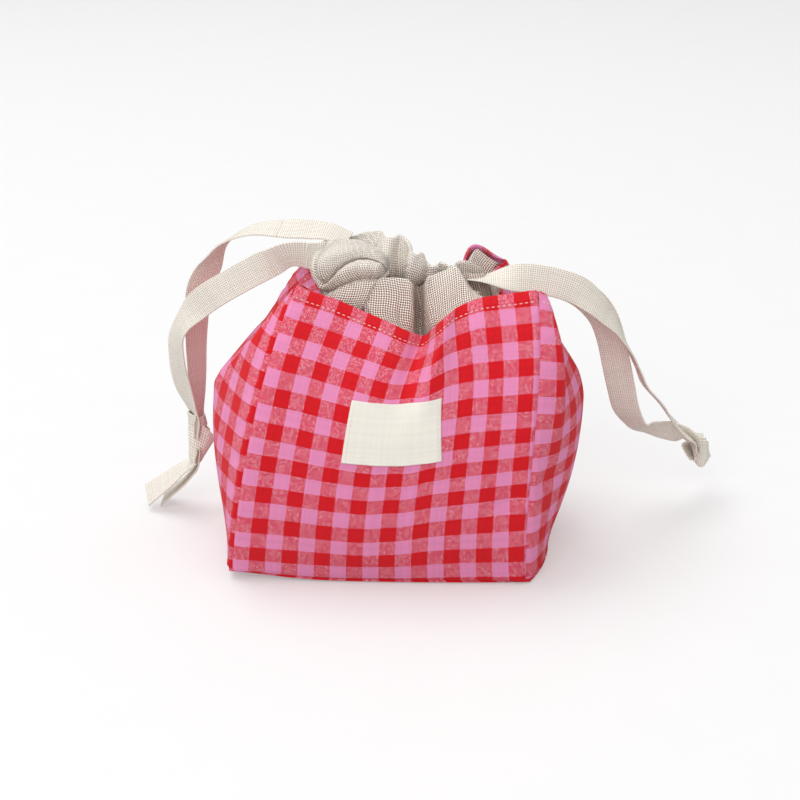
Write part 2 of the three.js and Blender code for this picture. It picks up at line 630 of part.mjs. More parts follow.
for (const half of ['front', 'back']) {
  addPiece(`${half}_skirt`, skirt(half), CLOTH.canvas, 0.95);
  addPiece(`${half}_casing`, casing(half), CLOTH.canvas, 0.95);
}
for (const side of ['left', 'right']) {
  for (const half of ['front', 'back']) {
    const route = legRoute(side, half);
    addPiece(`${side}_tape_${half}_run`, casingTape(half, side), CLOTH.tape, 0.9);
    addPiece(`${side}_${half}_stub`, freeTape(route, 0, LOOP_PIVOT_AT - TAPE_GAP), CLOTH.tape, 0.9);
    addPiece(`${side}_${half}_leg`, freeTape(route, LOOP_PIVOT_AT), CLOTH.tape, 0.9);
  }
  addPiece(`${side}_knot`, knotLump(side), CLOTH.tape, 0.9);
  addPiece(`${side}_tail_upper`, freeTape(tailRoute(side, 'upper')), CLOTH.tape, 0.9);
  addPiece(`${side}_tail_lower`, freeTape(tailRoute(side, 'lower')), CLOTH.tape, 0.9);
}

export default bag;
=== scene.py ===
# %% [markdown]
# # A gingham project bag with a drawn-up collar
# This lesson dresses a soft sewn bag: a boxy body of red and pink gingham, a canvas collar gathered tight at
# the mouth, and two pairs of flat cotton tapes that end in knots. The measured solids are loaded first and
# never move. Each cloth piece is then modelled as a sheet with its own cut size, takes the place of its
# solid, and rides on the same body, so that the bag still opens and its loops still lift.

# %% Load the measured model
import math

import bpy
import numpy as np
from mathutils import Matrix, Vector


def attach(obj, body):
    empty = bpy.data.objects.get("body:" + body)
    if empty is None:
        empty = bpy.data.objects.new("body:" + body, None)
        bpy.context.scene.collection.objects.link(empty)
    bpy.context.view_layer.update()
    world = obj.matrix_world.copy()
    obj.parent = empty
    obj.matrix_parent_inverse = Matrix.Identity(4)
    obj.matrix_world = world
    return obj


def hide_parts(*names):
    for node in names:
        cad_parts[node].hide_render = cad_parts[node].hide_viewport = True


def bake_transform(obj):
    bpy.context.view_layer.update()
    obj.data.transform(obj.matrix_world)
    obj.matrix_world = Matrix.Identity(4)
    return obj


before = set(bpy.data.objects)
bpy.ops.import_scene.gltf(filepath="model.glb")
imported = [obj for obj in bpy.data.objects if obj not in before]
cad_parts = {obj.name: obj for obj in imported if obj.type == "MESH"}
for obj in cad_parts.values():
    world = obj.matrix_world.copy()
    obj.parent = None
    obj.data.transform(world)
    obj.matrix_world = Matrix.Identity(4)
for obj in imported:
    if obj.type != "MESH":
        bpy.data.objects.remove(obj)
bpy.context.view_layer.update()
MM = 0.001

# %% [markdown]
# ## The camera
# A product photographer stands back and uses a long lens, so that the box keeps its proportions. The bag's
# base corners and the size of its checks give the place: almost straight on, twenty-two degrees above the
# table, a metre away. A 72 mm lens on a 36 mm sensor has the same narrow angle.

# %% Place the camera
CAMERA_AT = Vector((39.6, -925.5, 468.7)) * MM
CAMERA_TARGET = Vector((10.9, 0.0, 94.6)) * MM

camera_data = bpy.data.cameras.new("camera")
camera_data.sensor_width = 36.0
camera_data.lens = 72.0
camera = bpy.data.objects.new("camera", camera_data)
camera.location = CAMERA_AT
camera.rotation_euler = (CAMERA_TARGET - CAMERA_AT).to_track_quat("-Z", "Y").to_euler()
bpy.context.collection.objects.link(camera)
bpy.context.scene.camera = camera
print("camera distance:", round((CAMERA_TARGET - CAMERA_AT).length, 3), "m")

# %% [markdown]
# ## Helpers for cloth meshes
# Every piece here is a grid of points, either open like a panel or closed round like a tape. Each grid also
# carries a second set of coordinates, the cloth's own millimetres along and across the weave. Kept as a UV
# map, they let checks and threads follow the cloth through every fold, at their real size.

# %% Grid and tube builders
def add_mesh(name, points, faces, cloth):
    """A smooth mesh from points in millimetres, with the cloth coordinates of each face corner."""
    mesh = bpy.data.meshes.new(name)
    mesh.from_pydata((np.asarray(points) * MM).tolist(), [], faces)
    layer = mesh.uv_layers.new(name="cloth")
    layer.data.foreach_set("uv", (np.asarray(cloth) * MM).ravel())
    mesh.shade_smooth()
    mesh.validate()
    piece = bpy.data.objects.new(name, mesh)
    bpy.context.collection.objects.link(piece)
    return piece


def grid_mesh(name, points, cloth):
    """An open sheet from rows and columns of points, facing out when its columns run to the right."""
    rows, columns = points.shape[:2]
    index = np.arange(rows * columns).reshape(rows, columns)
    corners = [index[:-1, :-1], index[:-1, 1:], index[1:, 1:], index[1:, :-1]]
    faces = np.stack(corners, axis=-1).reshape(-1, 4)
    return add_mesh(name, points.reshape(-1, 3), faces.tolist(), cloth.reshape(-1, 2)[faces].reshape(-1, 2))


def tube_mesh(name, rings, along, around):
    """A closed tube from rings of points, with flat ends. along and around are its cloth coordinates."""
    count, sides = rings.shape[:2]
    index = np.arange(count * sides).reshape(count, sides)
    after = np.roll(index, -1, axis=1)
    faces = np.stack([index[:-1], after[:-1], after[1:], index[1:]], axis=-1).reshape(-1, 4)
    u, v = np.meshgrid(along, around, indexing="ij")
    cloth = np.stack([u, v], axis=-1)
    parts = [cloth[:-1, :-1], cloth[:-1, 1:], cloth[1:, 1:], cloth[1:, :-1]]
    corners = np.stack(parts, axis=2).reshape(-1, 2)
    ends = [index[0, ::-1].tolist(), index[-1].tolist()]
    corners = np.vstack([corners, cloth[0, :-1][::-1], cloth[-1, :-1]])
    return add_mesh(name, rings.reshape(-1, 3), faces.tolist() + ends, corners)


# %% Line helpers
def unit(vectors):
    """Vectors scaled to length one."""
    return vectors / np.linalg.norm(vectors, axis=-1, keepdims=True)


def ease(value, start, end):
    """A smooth step from 0 at start to 1 at end."""
    x = np.clip((value - start) / (end - start), 0, 1)
    return x * x * (3 - 2 * x)


def spline(knots, count):
    """A smooth line of count points through rows of knots, in even steps of the knots' own numbering."""
    knots = np.asarray(knots, float)
    wide = np.vstack([2 * knots[0] - knots[1], knots, 2 * knots[-1] - knots[-2]])
    place = np.linspace(0, len(knots) - 1, count)
    low = np.minimum(place.astype(int), len(knots) - 2)
    step = (place - low)[:, None]
    a, b, c, d = (wide[low + k] for k in range(4))
    bend = (2 * a - 5 * b + 4 * c - d) * step**2 + (3 * b - a - 3 * c + d) * step**3
    return 0.5 * (2 * b + (c - a) * step + bend)


def arc_lengths(points):
    """The length along a line of points up to each of them."""
    steps = np.linalg.norm(np.diff(points[:, :3], axis=0), axis=1)
    return np.concatenate([[0.0], np.cumsum(steps)])


def at_lengths(points, lengths):
    """The points of a line at chosen lengths along it."""
    known = arc_lengths(points)
    return np.stack([np.interp(lengths, known, column) for column in points.T], axis=1)


def even_line(points, count):
    """The same line with count points at even steps."""
    return at_lengths(points, np.linspace(0, arc_lengths(points)[-1], count))


# %% [markdown]
# ## The drawtapes
# The tape is woven cotton, eighteen millimetres wide and a millimetre thick, stiff enough to stand out from
# the bag in an arc. Its weft makes fine ribs from edge to edge. A curve object with a flat bevel could make
# it, but its twist would have to be set by tilt angles. Each leg is therefore swept in code, along a route
# close to that of its solid. A row holds a centre point and the way the width points there, read from the two
# edges in the picture: where they come together, the tape has turned edge-on. The sweep swells and thins with
# every rib, so that the ribs also notch the tape's edges, as they do on the real one.

# %% Routes of the tapes
TAPE_WIDTH = 18.0
RIB_PITCH = 1.3
CASING_ENDS = {"left": -43.2, "right": 64.3}
PIVOT_AT = 20.0
# Each row: x, y and z of the centre, and the three parts of the width's direction
LEG_ROUTES = {
    "left_front": [
        (-34, 2, 187.4, 0.1, -0.1, 0.99), (-43.2, 0.6, 187.4, 0.1, -0.2, 0.97),
        (-48, 1, 188.2, 0.11, -0.29, 0.95), (-57.5, 1.6, 187.7, 0.14, -0.33, 0.93),
        (-66.8, 2.4, 182.8, -0.13, -0.14, 0.98), (-76, 4, 177.9, -0.38, 0.2, 0.9),
        (-96.9, 8, 164.9, -0.41, 0.37, 0.83), (-112.5, 12, 153.5, -0.59, 0.33, 0.74),
        (-124.4, 16, 140.7, -0.55, 0.81, 0.23), (-130.7, 20, 126.9, -0.55, 0.74, -0.38),
        (-131.7, 24, 109.6, -0.55, 0.72, -0.41), (-129.8, 28.5, 90.7, -0.59, 0.7, -0.4),
        (-126.1, 31, 76.2, -0.42, 0.84, -0.34), (-122.1, 31.4, 65.5, -0.21, 0.91, -0.37),
        (-122.6, 32, 56, -0.2, 0.93, -0.3),
    ],
    "left_back": [
        (-21, 10, 194.5, 0.04, 0.9, 0.4), (-32.6, 12, 199.5, 0.04, 0.93, 0.32),
        (-44.6, 13.5, 200.2, 0, 0.93, 0.37), (-57.2, 15, 200.3, -0.03, 0.93, 0.37),
        (-80.5, 20, 198.1, -0.03, 1, 0.07), (-99.3, 27, 187.2, -0.01, 0.95, -0.33),
        (-109.1, 31, 171.4, 0.19, 0.58, -0.79), (-117, 34, 154.3, 0.51, 0.47, -0.72),
        (-119.9, 36, 132.8, 0.62, 0.7, -0.35), (-121.3, 37.5, 115.3, 0.58, 0.78, -0.23),
        (-121.5, 37, 98.3, 0.5, 0.83, -0.25), (-121.3, 35.5, 83.5, 0.35, 0.89, -0.28),
        (-120.9, 33.5, 71.2, 0.13, 0.92, -0.37), (-121.8, 33.2, 64.3, 0.13, 0.92, -0.37),
        (-122.6, 33.6, 56, 0.1, 0.93, -0.3),
    ],
    "right_front": [
        (52, 3.4, 172.4, -0.05, 0.94, -0.34), (61.2, 3, 172.9, -0.1, 0.98, -0.14),
        (70.6, 3, 173.6, -0.13, 0.94, 0.31), (80.5, 2.5, 174.2, -0.09, 0.65, 0.75),
        (90.8, 2.5, 173.8, 0.05, 0.42, 0.91), (105.7, 3, 171.1, 0.21, 0.41, 0.89),
        (119, 4, 166.1, 0.39, 0.42, 0.82), (130.5, 6, 157.3, 0.52, 0.76, 0.4),
        (138.5, 9, 148.3, 0.38, 0.91, 0.15), (145.7, 12, 139.1, 0.21, 0.98, -0.06),
        (153.4, 16, 124.3, 0.04, 0.95, -0.31), (160.2, 21, 109.4, 0.02, 0.94, -0.34),
        (166.6, 27, 95.6, 0.02, 0.94, -0.34), (177.5, 36, 80.1, 0.02, 0.95, -0.31),
        (186.6, 46, 65.5, 0.08, 0.97, -0.23), (195.8, 53, 53.8, 0.12, 0.97, -0.19),
        (202.7, 58.7, 46.4, 0.08, 0.98, -0.19), (206.8, 64, 38, 0.1, 0.97, -0.2),
    ],
    "right_back": [
        (52, 13, 169.5, -0.06, 0.98, -0.21), (58.7, 13, 169.7, -0.06, 0.98, -0.21),
        (70.6, 14, 170.4, -0.1, 0.98, 0.19), (82, 15, 170.9, -0.06, 0.89, 0.45),
        (95.9, 16, 169.1, 0.04, 0.8, 0.6), (110.8, 17, 164.7, 0.18, 0.7, 0.68),
        (124.8, 19, 157.4, 0.5, 0.4, 0.7), (135.8, 22, 145.1, 0.82, 0, 0.5),
        (142.4, 25, 128.9, 0.95, -0.2, 0.2), (147.6, 29, 108.6, 0.96, -0.15, 0.28),
        (151.9, 33, 91, 0.92, -0.25, 0.31), (156.6, 38, 74.5, 0.84, -0.44, 0.31),
        (164.9, 45, 60.7, 0.39, -0.79, 0.48), (174.2, 50, 57.5, 0.02, -0.71, 0.7),
        (185, 54, 53.8, -0.02, -0.51, 0.86), (196, 57.5, 49, -0.06, -0.56, 0.82),
        (202.6, 60, 45.1, 0.02, -0.8, 0.6), (206, 66, 37, 0.02, -0.85, 0.5),
    ],
}
TAIL_ROUTES = {
    "left_tail_upper": [
        (-123, 32.4, 48, -0.18, 0.94, -0.3), (-124.4, 32.6, 42.2, -0.18, 0.94, -0.3),
        (-127, 33, 35.8, -0.29, 0.94, -0.19), (-134.7, 33.5, 29.5, -0.36, 0.93, -0.08),
        (-146, 36, 19.6, -0.47, 0.88, 0), (-159.5, 38.5, 8.4, -0.58, 0.8, 0.13),
    ],
    "left_tail_lower": [
        (-122, 34, 48, -0.18, 0.94, -0.3), (-122.7, 34.2, 40.4, -0.18, 0.93, -0.34),
        (-124.5, 34.7, 31.8, -0.18, 0.94, -0.3), (-131.7, 37, 21.9, -0.21, 0.95, -0.23),
        (-139.8, 40, 13.3, -0.23, 0.95, -0.21), (-149.8, 43, 4.0, -0.29, 0.94, -0.1),
    ],
    "right_tail_upper": [
        (206, 72, 34.5, 0.15, 0.8, 0.55), (211, 74.5, 34, 0.15, 0.8, 0.55),
        (217, 77.5, 33, 0.15, 0.82, 0.5),
    ],
    "right_tail_lower": [
        (206, 74, 31.5, 0.15, 0.8, 0.55), (211, 76.5, 30, 0.15, 0.8, 0.55),
        (215.5, 79.5, 28, 0.15, 0.82, 0.5),
    ],
}
for name, route in LEG_ROUTES.items():
    print(name, "runs", round(arc_lengths(spline(route, 400))[-1]), "mm from inside its casing to its knot")


# %% Sweep a flat tape along a line
# Places round the tape's section: a share of its half width, and of its half thickness. Those next to its
# edges lie close together, so that its faces stay flat and its edges crisp.
TAPE_RING = np.array([
    (1.0, -0.5), (1.0, 0.5), (0.97, 1.0), (0.9, 1.0), (0.3, 1.0), (-0.3, 1.0),
    (-0.9, 1.0), (-0.97, 1.0), (-1.0, 0.5), (-1.0, -0.5), (-0.97, -1.0),
    (-0.9, -1.0), (-0.3, -1.0), (0.3, -1.0), (0.9, -1.0), (0.97, -1.0),
])
TAPE_HALF = 0.5
RIB_NOTCH = 0.018
RIB_SWELL = 0.2
RIB_STEPS = 4
TAPE_SECTION = np.vstack([TAPE_RING, TAPE_RING[:1]]) * np.array([TAPE_WIDTH / 2, TAPE_HALF])


def ribbon(name, low, high):
    """A ribbed tape between two lines of edge points."""
    centres, reach = (low + high) / 2, (high - low) / 2
    normals = unit(np.cross(np.gradient(centres, axis=0), reach))
    lengths = arc_lengths(centres)
    rib = np.cos(2 * math.pi * lengths / RIB_PITCH)[:, None]
    across = TAPE_RING[:, 0] + np.sign(TAPE_RING[:, 0]) * RIB_NOTCH * rib
    through = TAPE_RING[:, 1] * TAPE_HALF * (1 + RIB_SWELL * rib)
    rings = centres[:, None] + reach[:, None] * across[..., None] + normals[:, None] * through[..., None]
    return tube_mesh(name, rings, lengths, arc_lengths(TAPE_SECTION))


def sweep_tape(name, centres, widths):
    """A tape of full width along centre points, with the direction of its width at each."""
    along = unit(np.gradient(centres, axis=0))
    reach = unit(widths - along * np.sum(widths * along, axis=1, keepdims=True)) * TAPE_WIDTH / 2
    return ribbon(name, centres - reach, centres + reach)


def route_frame(route):
    """Even points along a route, a few to a rib, and the way the tape's width runs at each."""
    line = spline(route, 40 * len(route))
    line = even_line(line, round(arc_lengths(line)[-1] / RIB_PITCH * RIB_STEPS))
    return line[:, :3], line[:, 3:]


# %% Make the legs, stubs and tails
STUB_OVERLAP = 0.4
tapes = {}
leg_lines = {}
for name, route in LEG_ROUTES.items():
    side, half = name.split("_")
    centres, widths = route_frame(route)
    lengths = arc_lengths(centres)
    leaves = np.argmin(np.abs(centres[:, 0] - CASING_ENDS[side]))
    inside = lengths <= lengths[leaves] + PIVOT_AT + STUB_OVERLAP
    outside = lengths >= lengths[leaves] + PIVOT_AT
    stub = sweep_tape(f"{name}_stub_tape", centres[inside], widths[inside])
    leg = sweep_tape(f"{name}_leg_tape", centres[outside], widths[outside])
    leg_lines[name] = centres[outside]
    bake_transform(stub)
    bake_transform(leg)
    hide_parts(f"{name}_stub")
    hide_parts(f"{name}_leg")
    tapes[name] = (stub, leg)
for name, route in TAIL_ROUTES.items():
    tail = sweep_tape(f"{name}_tape", *route_frame(route))
    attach(tail, f"{name.split('_')[0]}_loop")
    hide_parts(name)
    tapes[name] = (tail,)
print("tape pieces:", sum(len(pieces) for pieces in tapes.values()))

# %% [markdown]
# ## The knots
# Both legs of a pair are tied together in one overhand knot, and what shows of it is tape wound round tape.
# Each turn is a closed ribbon between two loops of edge points. The left knot is drawn to a
# narrow foot, so its ribs fan out upwards. The right one keeps an open loop at its side, dark inside.

# %% Wind the knots
# Each row is one rib of a turn: its first and its second edge point.
KNOT_TURNS = {
    "left_knot_wrap": [
        ((-128.6, 33.0, 38.3), (-127.8, 33.0, 66.2)), ((-127.1, 29.5, 37.7), (-123.9, 28.5, 66.7)),
        ((-124.7, 28.5, 36.4), (-118.4, 26.5, 64.8)), ((-122.5, 29.5, 36.4), (-113.0, 28.0, 59.3)),
        ((-121.4, 33.0, 37.0), (-111.7, 33.0, 52.9)), ((-123.2, 36.5, 36.8), (-115.9, 38.5, 57.6)),
        ((-126.7, 38.0, 36.8), (-121.9, 40.5, 62.4)), ((-128.8, 36.5, 37.5), (-126.7, 38.0, 65.5)),
    ],
    "left_knot_roll": [
        ((-127.2, 32.0, 63.8), (-127.8, 32.0, 71.5)), ((-123.7, 28.0, 62.7), (-124.3, 28.5, 70.9)),
        ((-119.2, 26.5, 62.7), (-120.3, 27.5, 70.0)), ((-117.0, 28.0, 62.8), (-118.2, 29.0, 69.8)),
        ((-116.4, 33.0, 62.8), (-117.8, 33.0, 70.2)), ((-118.6, 38.0, 62.8), (-120.2, 37.0, 70.7)),
        ((-123.0, 39.0, 63.0), (-123.8, 38.0, 71.2)), ((-126.9, 37.0, 63.8), (-127.4, 36.0, 71.3)),
    ],
    "right_knot_wrap": [
        ((208.3, 65.0, 25.8), (204.8, 64.0, 40.1)), ((209.9, 61.5, 24.4), (206.2, 60.5, 42.4)),
        ((212.4, 60.5, 24.2), (209.1, 59.0, 44.2)), ((215.2, 62.5, 27.0), (212.8, 61.0, 43.7)),
        ((217.0, 66.5, 28.9), (215.4, 66.0, 40.8)), ((216.0, 71.0, 28.4), (214.4, 71.0, 40.9)),
        ((212.6, 72.5, 26.9), (210.7, 73.0, 40.3)), ((209.6, 70.0, 26.5), (206.7, 70.0, 39.7)),
    ],
    "right_knot_loop": [
        ((197.9, 62.0, 39.4), (204.9, 72.0, 34.4)), ((200.7, 61.5, 41.9), (207.8, 72.0, 37.4)),
        ((204.3, 61.0, 41.8), (212.0, 71.0, 37.2)), ((206.6, 60.5, 36.6), (214.3, 70.5, 32.3)),
        ((206.8, 61.0, 29.0), (214.7, 70.5, 27.1)), ((204.0, 62.0, 28.9), (211.5, 72.0, 27.1)),
        ((200.6, 62.0, 33.6), (207.6, 72.0, 30.0)),
    ],
}
HIDDEN_RIB = 5
TURN_STEPS = 60


def closed_turn(name, ribs):
    """A closed turn of tape through its listed ribs. The seam of the ring lies on the hidden side."""
    turned = ribs[HIDDEN_RIB:] + ribs[:HIDDEN_RIB]
    loop = np.array([turned[-1], *turned, turned[0], turned[1]]).reshape(-1, 6)
    line = spline(loop, TURN_STEPS * len(loop))[TURN_STEPS:-2 * TURN_STEPS]
    return ribbon(name, line[:, :3], line[:, 3:])


knot_pieces = {"left": [], "right": []}
for name, ribs in KNOT_TURNS.items():
    side = name.split("_")[0]
    piece = closed_turn(name, ribs)
    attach(piece, f"{side}_loop")
    knot_pieces[side].append(piece)
for side, pieces in knot_pieces.items():
    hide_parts(f"{side}_knot")
print("knot turns:", {side: len(pieces) for side, pieces in knot_pieces.items()})

for name in LEG_ROUTES:
    side, half = name.split("_")
    stub, leg = tapes[name]
    line = leg_lines[name]
    on_it = [stub]
    if half == "front":
        on_it += knot_pieces[side]
        on_it += [tapes[f"{side}_tail_upper"][0], tapes[f"{side}_tail_lower"][0]]
    print(name, "leg:", round(arc_lengths(line)[-1]), "mm free")

# %% [markdown]
# ## The body's surface
# Four panels and a base are sewn to a soft box. A cloth simulation could inflate it, but its folds would not
# fall where the picture has them, so the walls are drawn. The corner seams and the middle line of each panel
# are cubic curves that swell above the base and draw in at the mouth, like those of the solids but rounder at
# the two sides. A panel is spread between its seams: a high power makes a full curve low down, a low power a
# fold near the top.

# %% Seams, folds and walls
BASE_WIDTH = 180.0
BASE_DEPTH = 120.0
WALL_HEIGHT = 176.0
# Each line's corner or side of the base, then its points: offsets in x and y, and a share of the height
SEAM_POINTS = {
    "front_left": ((-1, -1), [(0, 0, 0), (6, -19, 0.364), (20, -2, 0.761), (39, 43, 0.985)]),
    "front_right": ((1, -1), [(0, 0, 0), (-6, -18, 0.341), (9, -6, 0.75), (3, 37, 0.985)]),
    "back_right": ((1, 1), [(0, 0, 0), (2, 12, 0.352), (2, 10, 0.773), (-15, -14, 0.98)]),
    "back_left": ((-1, 1), [(0, 0, 0), (2, 12, 0.352), (14, 6, 0.773), (41, -28, 0.994)]),
    "front": ((0, -1), [(0, -2, 0), (2, -26, 0.284), (10, -22, 0.693), (27, 30, 0.858)]),
    "right": ((1, 0), [(13, 0, 0), (30, 0, 0.284), (64, 2, 0.75), (-12, 12, 0.885)]),
    "back": ((0, 1), [(0, 2, 0), (2, 20, 0.295), (8, 18, 0.716), (14, -34, 0.886)]),
    "left": ((-1, 0), [(-4, 0, 0), (-18, 0, 0.36), (-36, 2, 0.72), (54, 6, 0.909)]),
}
# Each wall's two seams, its cut width, and the powers of its curve at the top before and after its middle
WALLS = {
    "front": ("front_left", "front_right", BASE_WIDTH, (1.2, 0.85)),
    "right": ("front_right", "back_right", BASE_DEPTH, (1.1, 1.5)),
    "back": ("back_right", "back_left", BASE_WIDTH, (1.5, 1.5)),
    "left": ("back_left", "front_left", BASE_DEPTH, (1.5, 1.5)),
}
FULLNESS_AT_BASE = 2.4


def curve_point(name, t):
    """A point on a seam or fold line at each t from the base to the mouth."""
    (side_x, side_y), offsets = SEAM_POINTS[name]
    start = np.array([side_x * BASE_WIDTH / 2, side_y * BASE_DEPTH / 2, 0.0])
    a, b, c, d = (start + np.array([x, y, share * WALL_HEIGHT]) for x, y, share in offsets)
    t = np.asarray(t, float)[..., None]
    return (1 - t) ** 3 * a + 3 * (1 - t) ** 2 * t * b + 3 * (1 - t) * t**2 * c + t**3 * d


def smooth_wall(side, u, t):
    """The outside of a wall: u runs from its first seam to its second, t from the base to the top edge."""
    first, last, _, (before, after) = WALLS[side]
    start, end = curve_point(first, t), curve_point(last, t)
    fullness = FULLNESS_AT_BASE + (np.where(u < 0.5, before, after) - FULLNESS_AT_BASE) * t
    swell = (1 - np.abs(2 * u - 1) ** fullness)[..., None]
    return start + (end - start) * u[..., None] + (curve_point(side, t) - (start + end) / 2) * swell


for side in WALLS:
    middle_line = curve_point(side, np.linspace(0, 1, 200))
    print(side, "wall:", round(arc_lengths(middle_line)[-1]), "mm up its middle")

# %% [markdown]
# ## Big folds
# A few large folds change the outline. Right of the V in the front edge, the panel steps forward and up in
# one S-shaped fold that dies away lower down. The front's edge is also cut to a line of heights that was read
# off the picture. At the back right corner the back wall is pinched up to an ear and the right wall is drawn
# in beside it. Near the front corners both side walls stand out, and the right one sinks in above its middle.
# A sculpting brush could push these folds in, but a formula can still be read and changed afterwards.

# %% The fold beside the V, the front's edge and the pinched corners
FOLD_AT = 0.545
FOLD_WIDTH = 0.045
FOLD_DEPTH = 9.0
FOLD_FORWARD = 0.92
FOLD_UP = 0.2
# The levels on the wall at which the fold and the cut of its edge set in
FOLD_FROM, CUT_FROM = 0.58, 0.72
# Places along the front's edge, and how far it is cut above or below its curve there
FRONT_EDGE = [
    (0.0, 0.0), (0.05, -0.4), (0.15, 1.2), (0.25, 0.3), (0.35, -1.3), (0.44, -3.8), (0.475, -4.8),
    (0.5, -4.7), (0.52, -3.4), (0.54, -1.2), (0.56, 0.9), (0.58, 2.6), (0.6, 4.2), (0.64, 6.2),
    (0.75, 6.8), (0.8, 5.5), (0.9, 2.7), (1.0, 0.0),
]
# Where a wall's edge is pushed off its curve: from one u to another, how far, and between which levels
PINCHES = {
    "back": [(0.0, 0.26, (-4, 4, 15), 0.7, 1.0)],
    "right": [
        (0.7, 1.0, (-6, 0, 2), 0.7, 1.0),
        (0.0, 0.2, (7, -4, 0), 0.35, 0.85),
        (0.1, 0.9, (-5, 0, 0), 0.55, 0.75),
    ],
    "left": [(0.64, 1.0, (-4, -2, 5), 0.5, 0.95)],
    "front": [],
}


def wall_point(side, u, t):
    """The outside of a wall with its big folds."""
    u, t = np.asarray(u, float), np.asarray(t, float)
    point = smooth_wall(side, u, t)
    for first, last, push, low, high in PINCHES[side]:
        along = np.clip((u - first) / (last - first), 0, 1)
        strength = np.sin(math.pi * along) ** 2 * ease(t, low, high)
        point = point + strength[..., None] * np.array(push)
    if side == "front":
        x = (u - FOLD_AT) / FOLD_WIDTH
        step = FOLD_DEPTH * x * np.exp(0.5 - x * x / 2) * ease(t, FOLD_FROM, 1)
        places, heights = np.array(FRONT_EDGE).T
        cut = np.interp(u, places, heights) * ease(t, CUT_FROM, 1)
        point = point + np.stack([0 * step, -FOLD_FORWARD * step, FOLD_UP * step + cut], axis=-1)
    return point


def wall_normal(side, u, t):
    """The way out of a wall at each place on it."""
    step = 0.004
    across = wall_point(side, np.minimum(u + step, 1), t) - wall_point(side, np.maximum(u - step, 0), t)
    up = wall_point(side, u, np.minimum(t + step, 1)) - wall_point(side, u, np.maximum(t - step, 0))
    return unit(np.cross(across, up))


edge_line = wall_point("front", np.linspace(0, 1, 200), np.ones(200))
edge_length, edge_lowest = arc_lengths(edge_line)[-1], edge_line[:, 2].min()
print("front edge:", round(edge_length), "mm along, lowest at", round(edge_lowest), "mm")

# %% [markdown]
# ## How the cloth gives
# A sewn panel is never as smooth as its curves. It turns in sharply at each seam and stands proud beside it,
# draws up in small puckers there, has slow waves where it was folded, and a few sharp creases. A displacement
# texture could do this, but here each kind of move has its own line. All of them fade to nothing at the
# seams, so that neighbouring panels still meet. One base corner is tucked up off the table, which lifts every
# layer there by the same height.

# %% Seam rolls, puckers, creases and the lifted corner
LIFTED_CORNER = np.array([-90.0, -60.0])
LIFT = 4.5
LIFT_REACH = 26.0
LIFT_FADE = 40.0
BASE_LIP = 0.015
PANEL_LENGTH = 180.0
# How far the cloth stands proud beside a seam, and the lengths over which it rises and falls away
SEAM_PROUD, SEAM_RISE, SEAM_FALL = 2.6, 1.2, 22.0
# The same for the lip above the base
LIP_PROUD, LIP_RISE, LIP_FALL = 1.3, 1.0, 9.0
# How deep the puckers are, how far from the seam they lie, and how far they reach
PUCKER_DEPTH, PUCKER_AT, PUCKER_REACH = 0.3, 5, 5.0
WAVE_HEIGHT, DRAG_HEIGHT = 1.0, 0.7
# The lengths from a seam over which each kind of move sets in
LIP_FADE, PUCKER_FADE, WAVE_FADE, CREASE_FADE = 4.0, 3.0, 25.0, 6.0
# Creases on a wall: two ends in u and t, how far the cloth stands out there, and how wide it is, in mm
CREASES = {
    "left": [((0.36, 0.46), (0.84, 0.80), 3.4, 12.0), ((0.2, 0.5), (0.55, 0.64), 2.0, 12.0)],
    "front": [((0.86, 0.30), (1.0, 0.345), -2.2, 7.0), ((0.02, 0.66), (0.30, 0.93), 1.3, 12.0)],
    "right": [((0.0, 0.345), (0.16, 0.38), -2.2, 7.0), ((0.1, 0.95), (0.55, 0.62), 2.0, 12.0)],
    "back": [((0.3, 0.95), (0.6, 0.6), 2.0, 14.0)],
}


def settle(points):
    """Raises the cloth round the tucked base corner."""
    away = np.sum((points[..., :2] - LIFTED_CORNER) ** 2, axis=-1)
    fade = np.exp(-np.maximum(points[..., 2], 0) / LIFT_FADE)
    height = LIFT * np.exp(-away / (2 * LIFT_REACH**2)) * fade
    return points + height[..., None] * np.array([0, 0, 1.0])


def crease(u, t, width, first, last, height, reach):
    """How far one crease pushes the cloth out, sharp along its line and fading to both sides."""
    scale = np.array([width, PANEL_LENGTH])
    start, end = np.array(first) * scale, np.array(last) * scale
    place = np.stack([u * width, t * PANEL_LENGTH], axis=-1) - start
    along = np.clip(place @ (end - start) / np.sum((end - start) ** 2), 0, 1)
    away = np.linalg.norm(place - along[..., None] * (end - start), axis=-1)
    return height * np.exp(-away / reach) * np.sin(math.pi * (0.15 + 0.7 * along))


def growing(distance, length):
    """A share that grows from 0 at an edge to 1 at a length away from it."""
    return np.minimum(distance / length, 1)


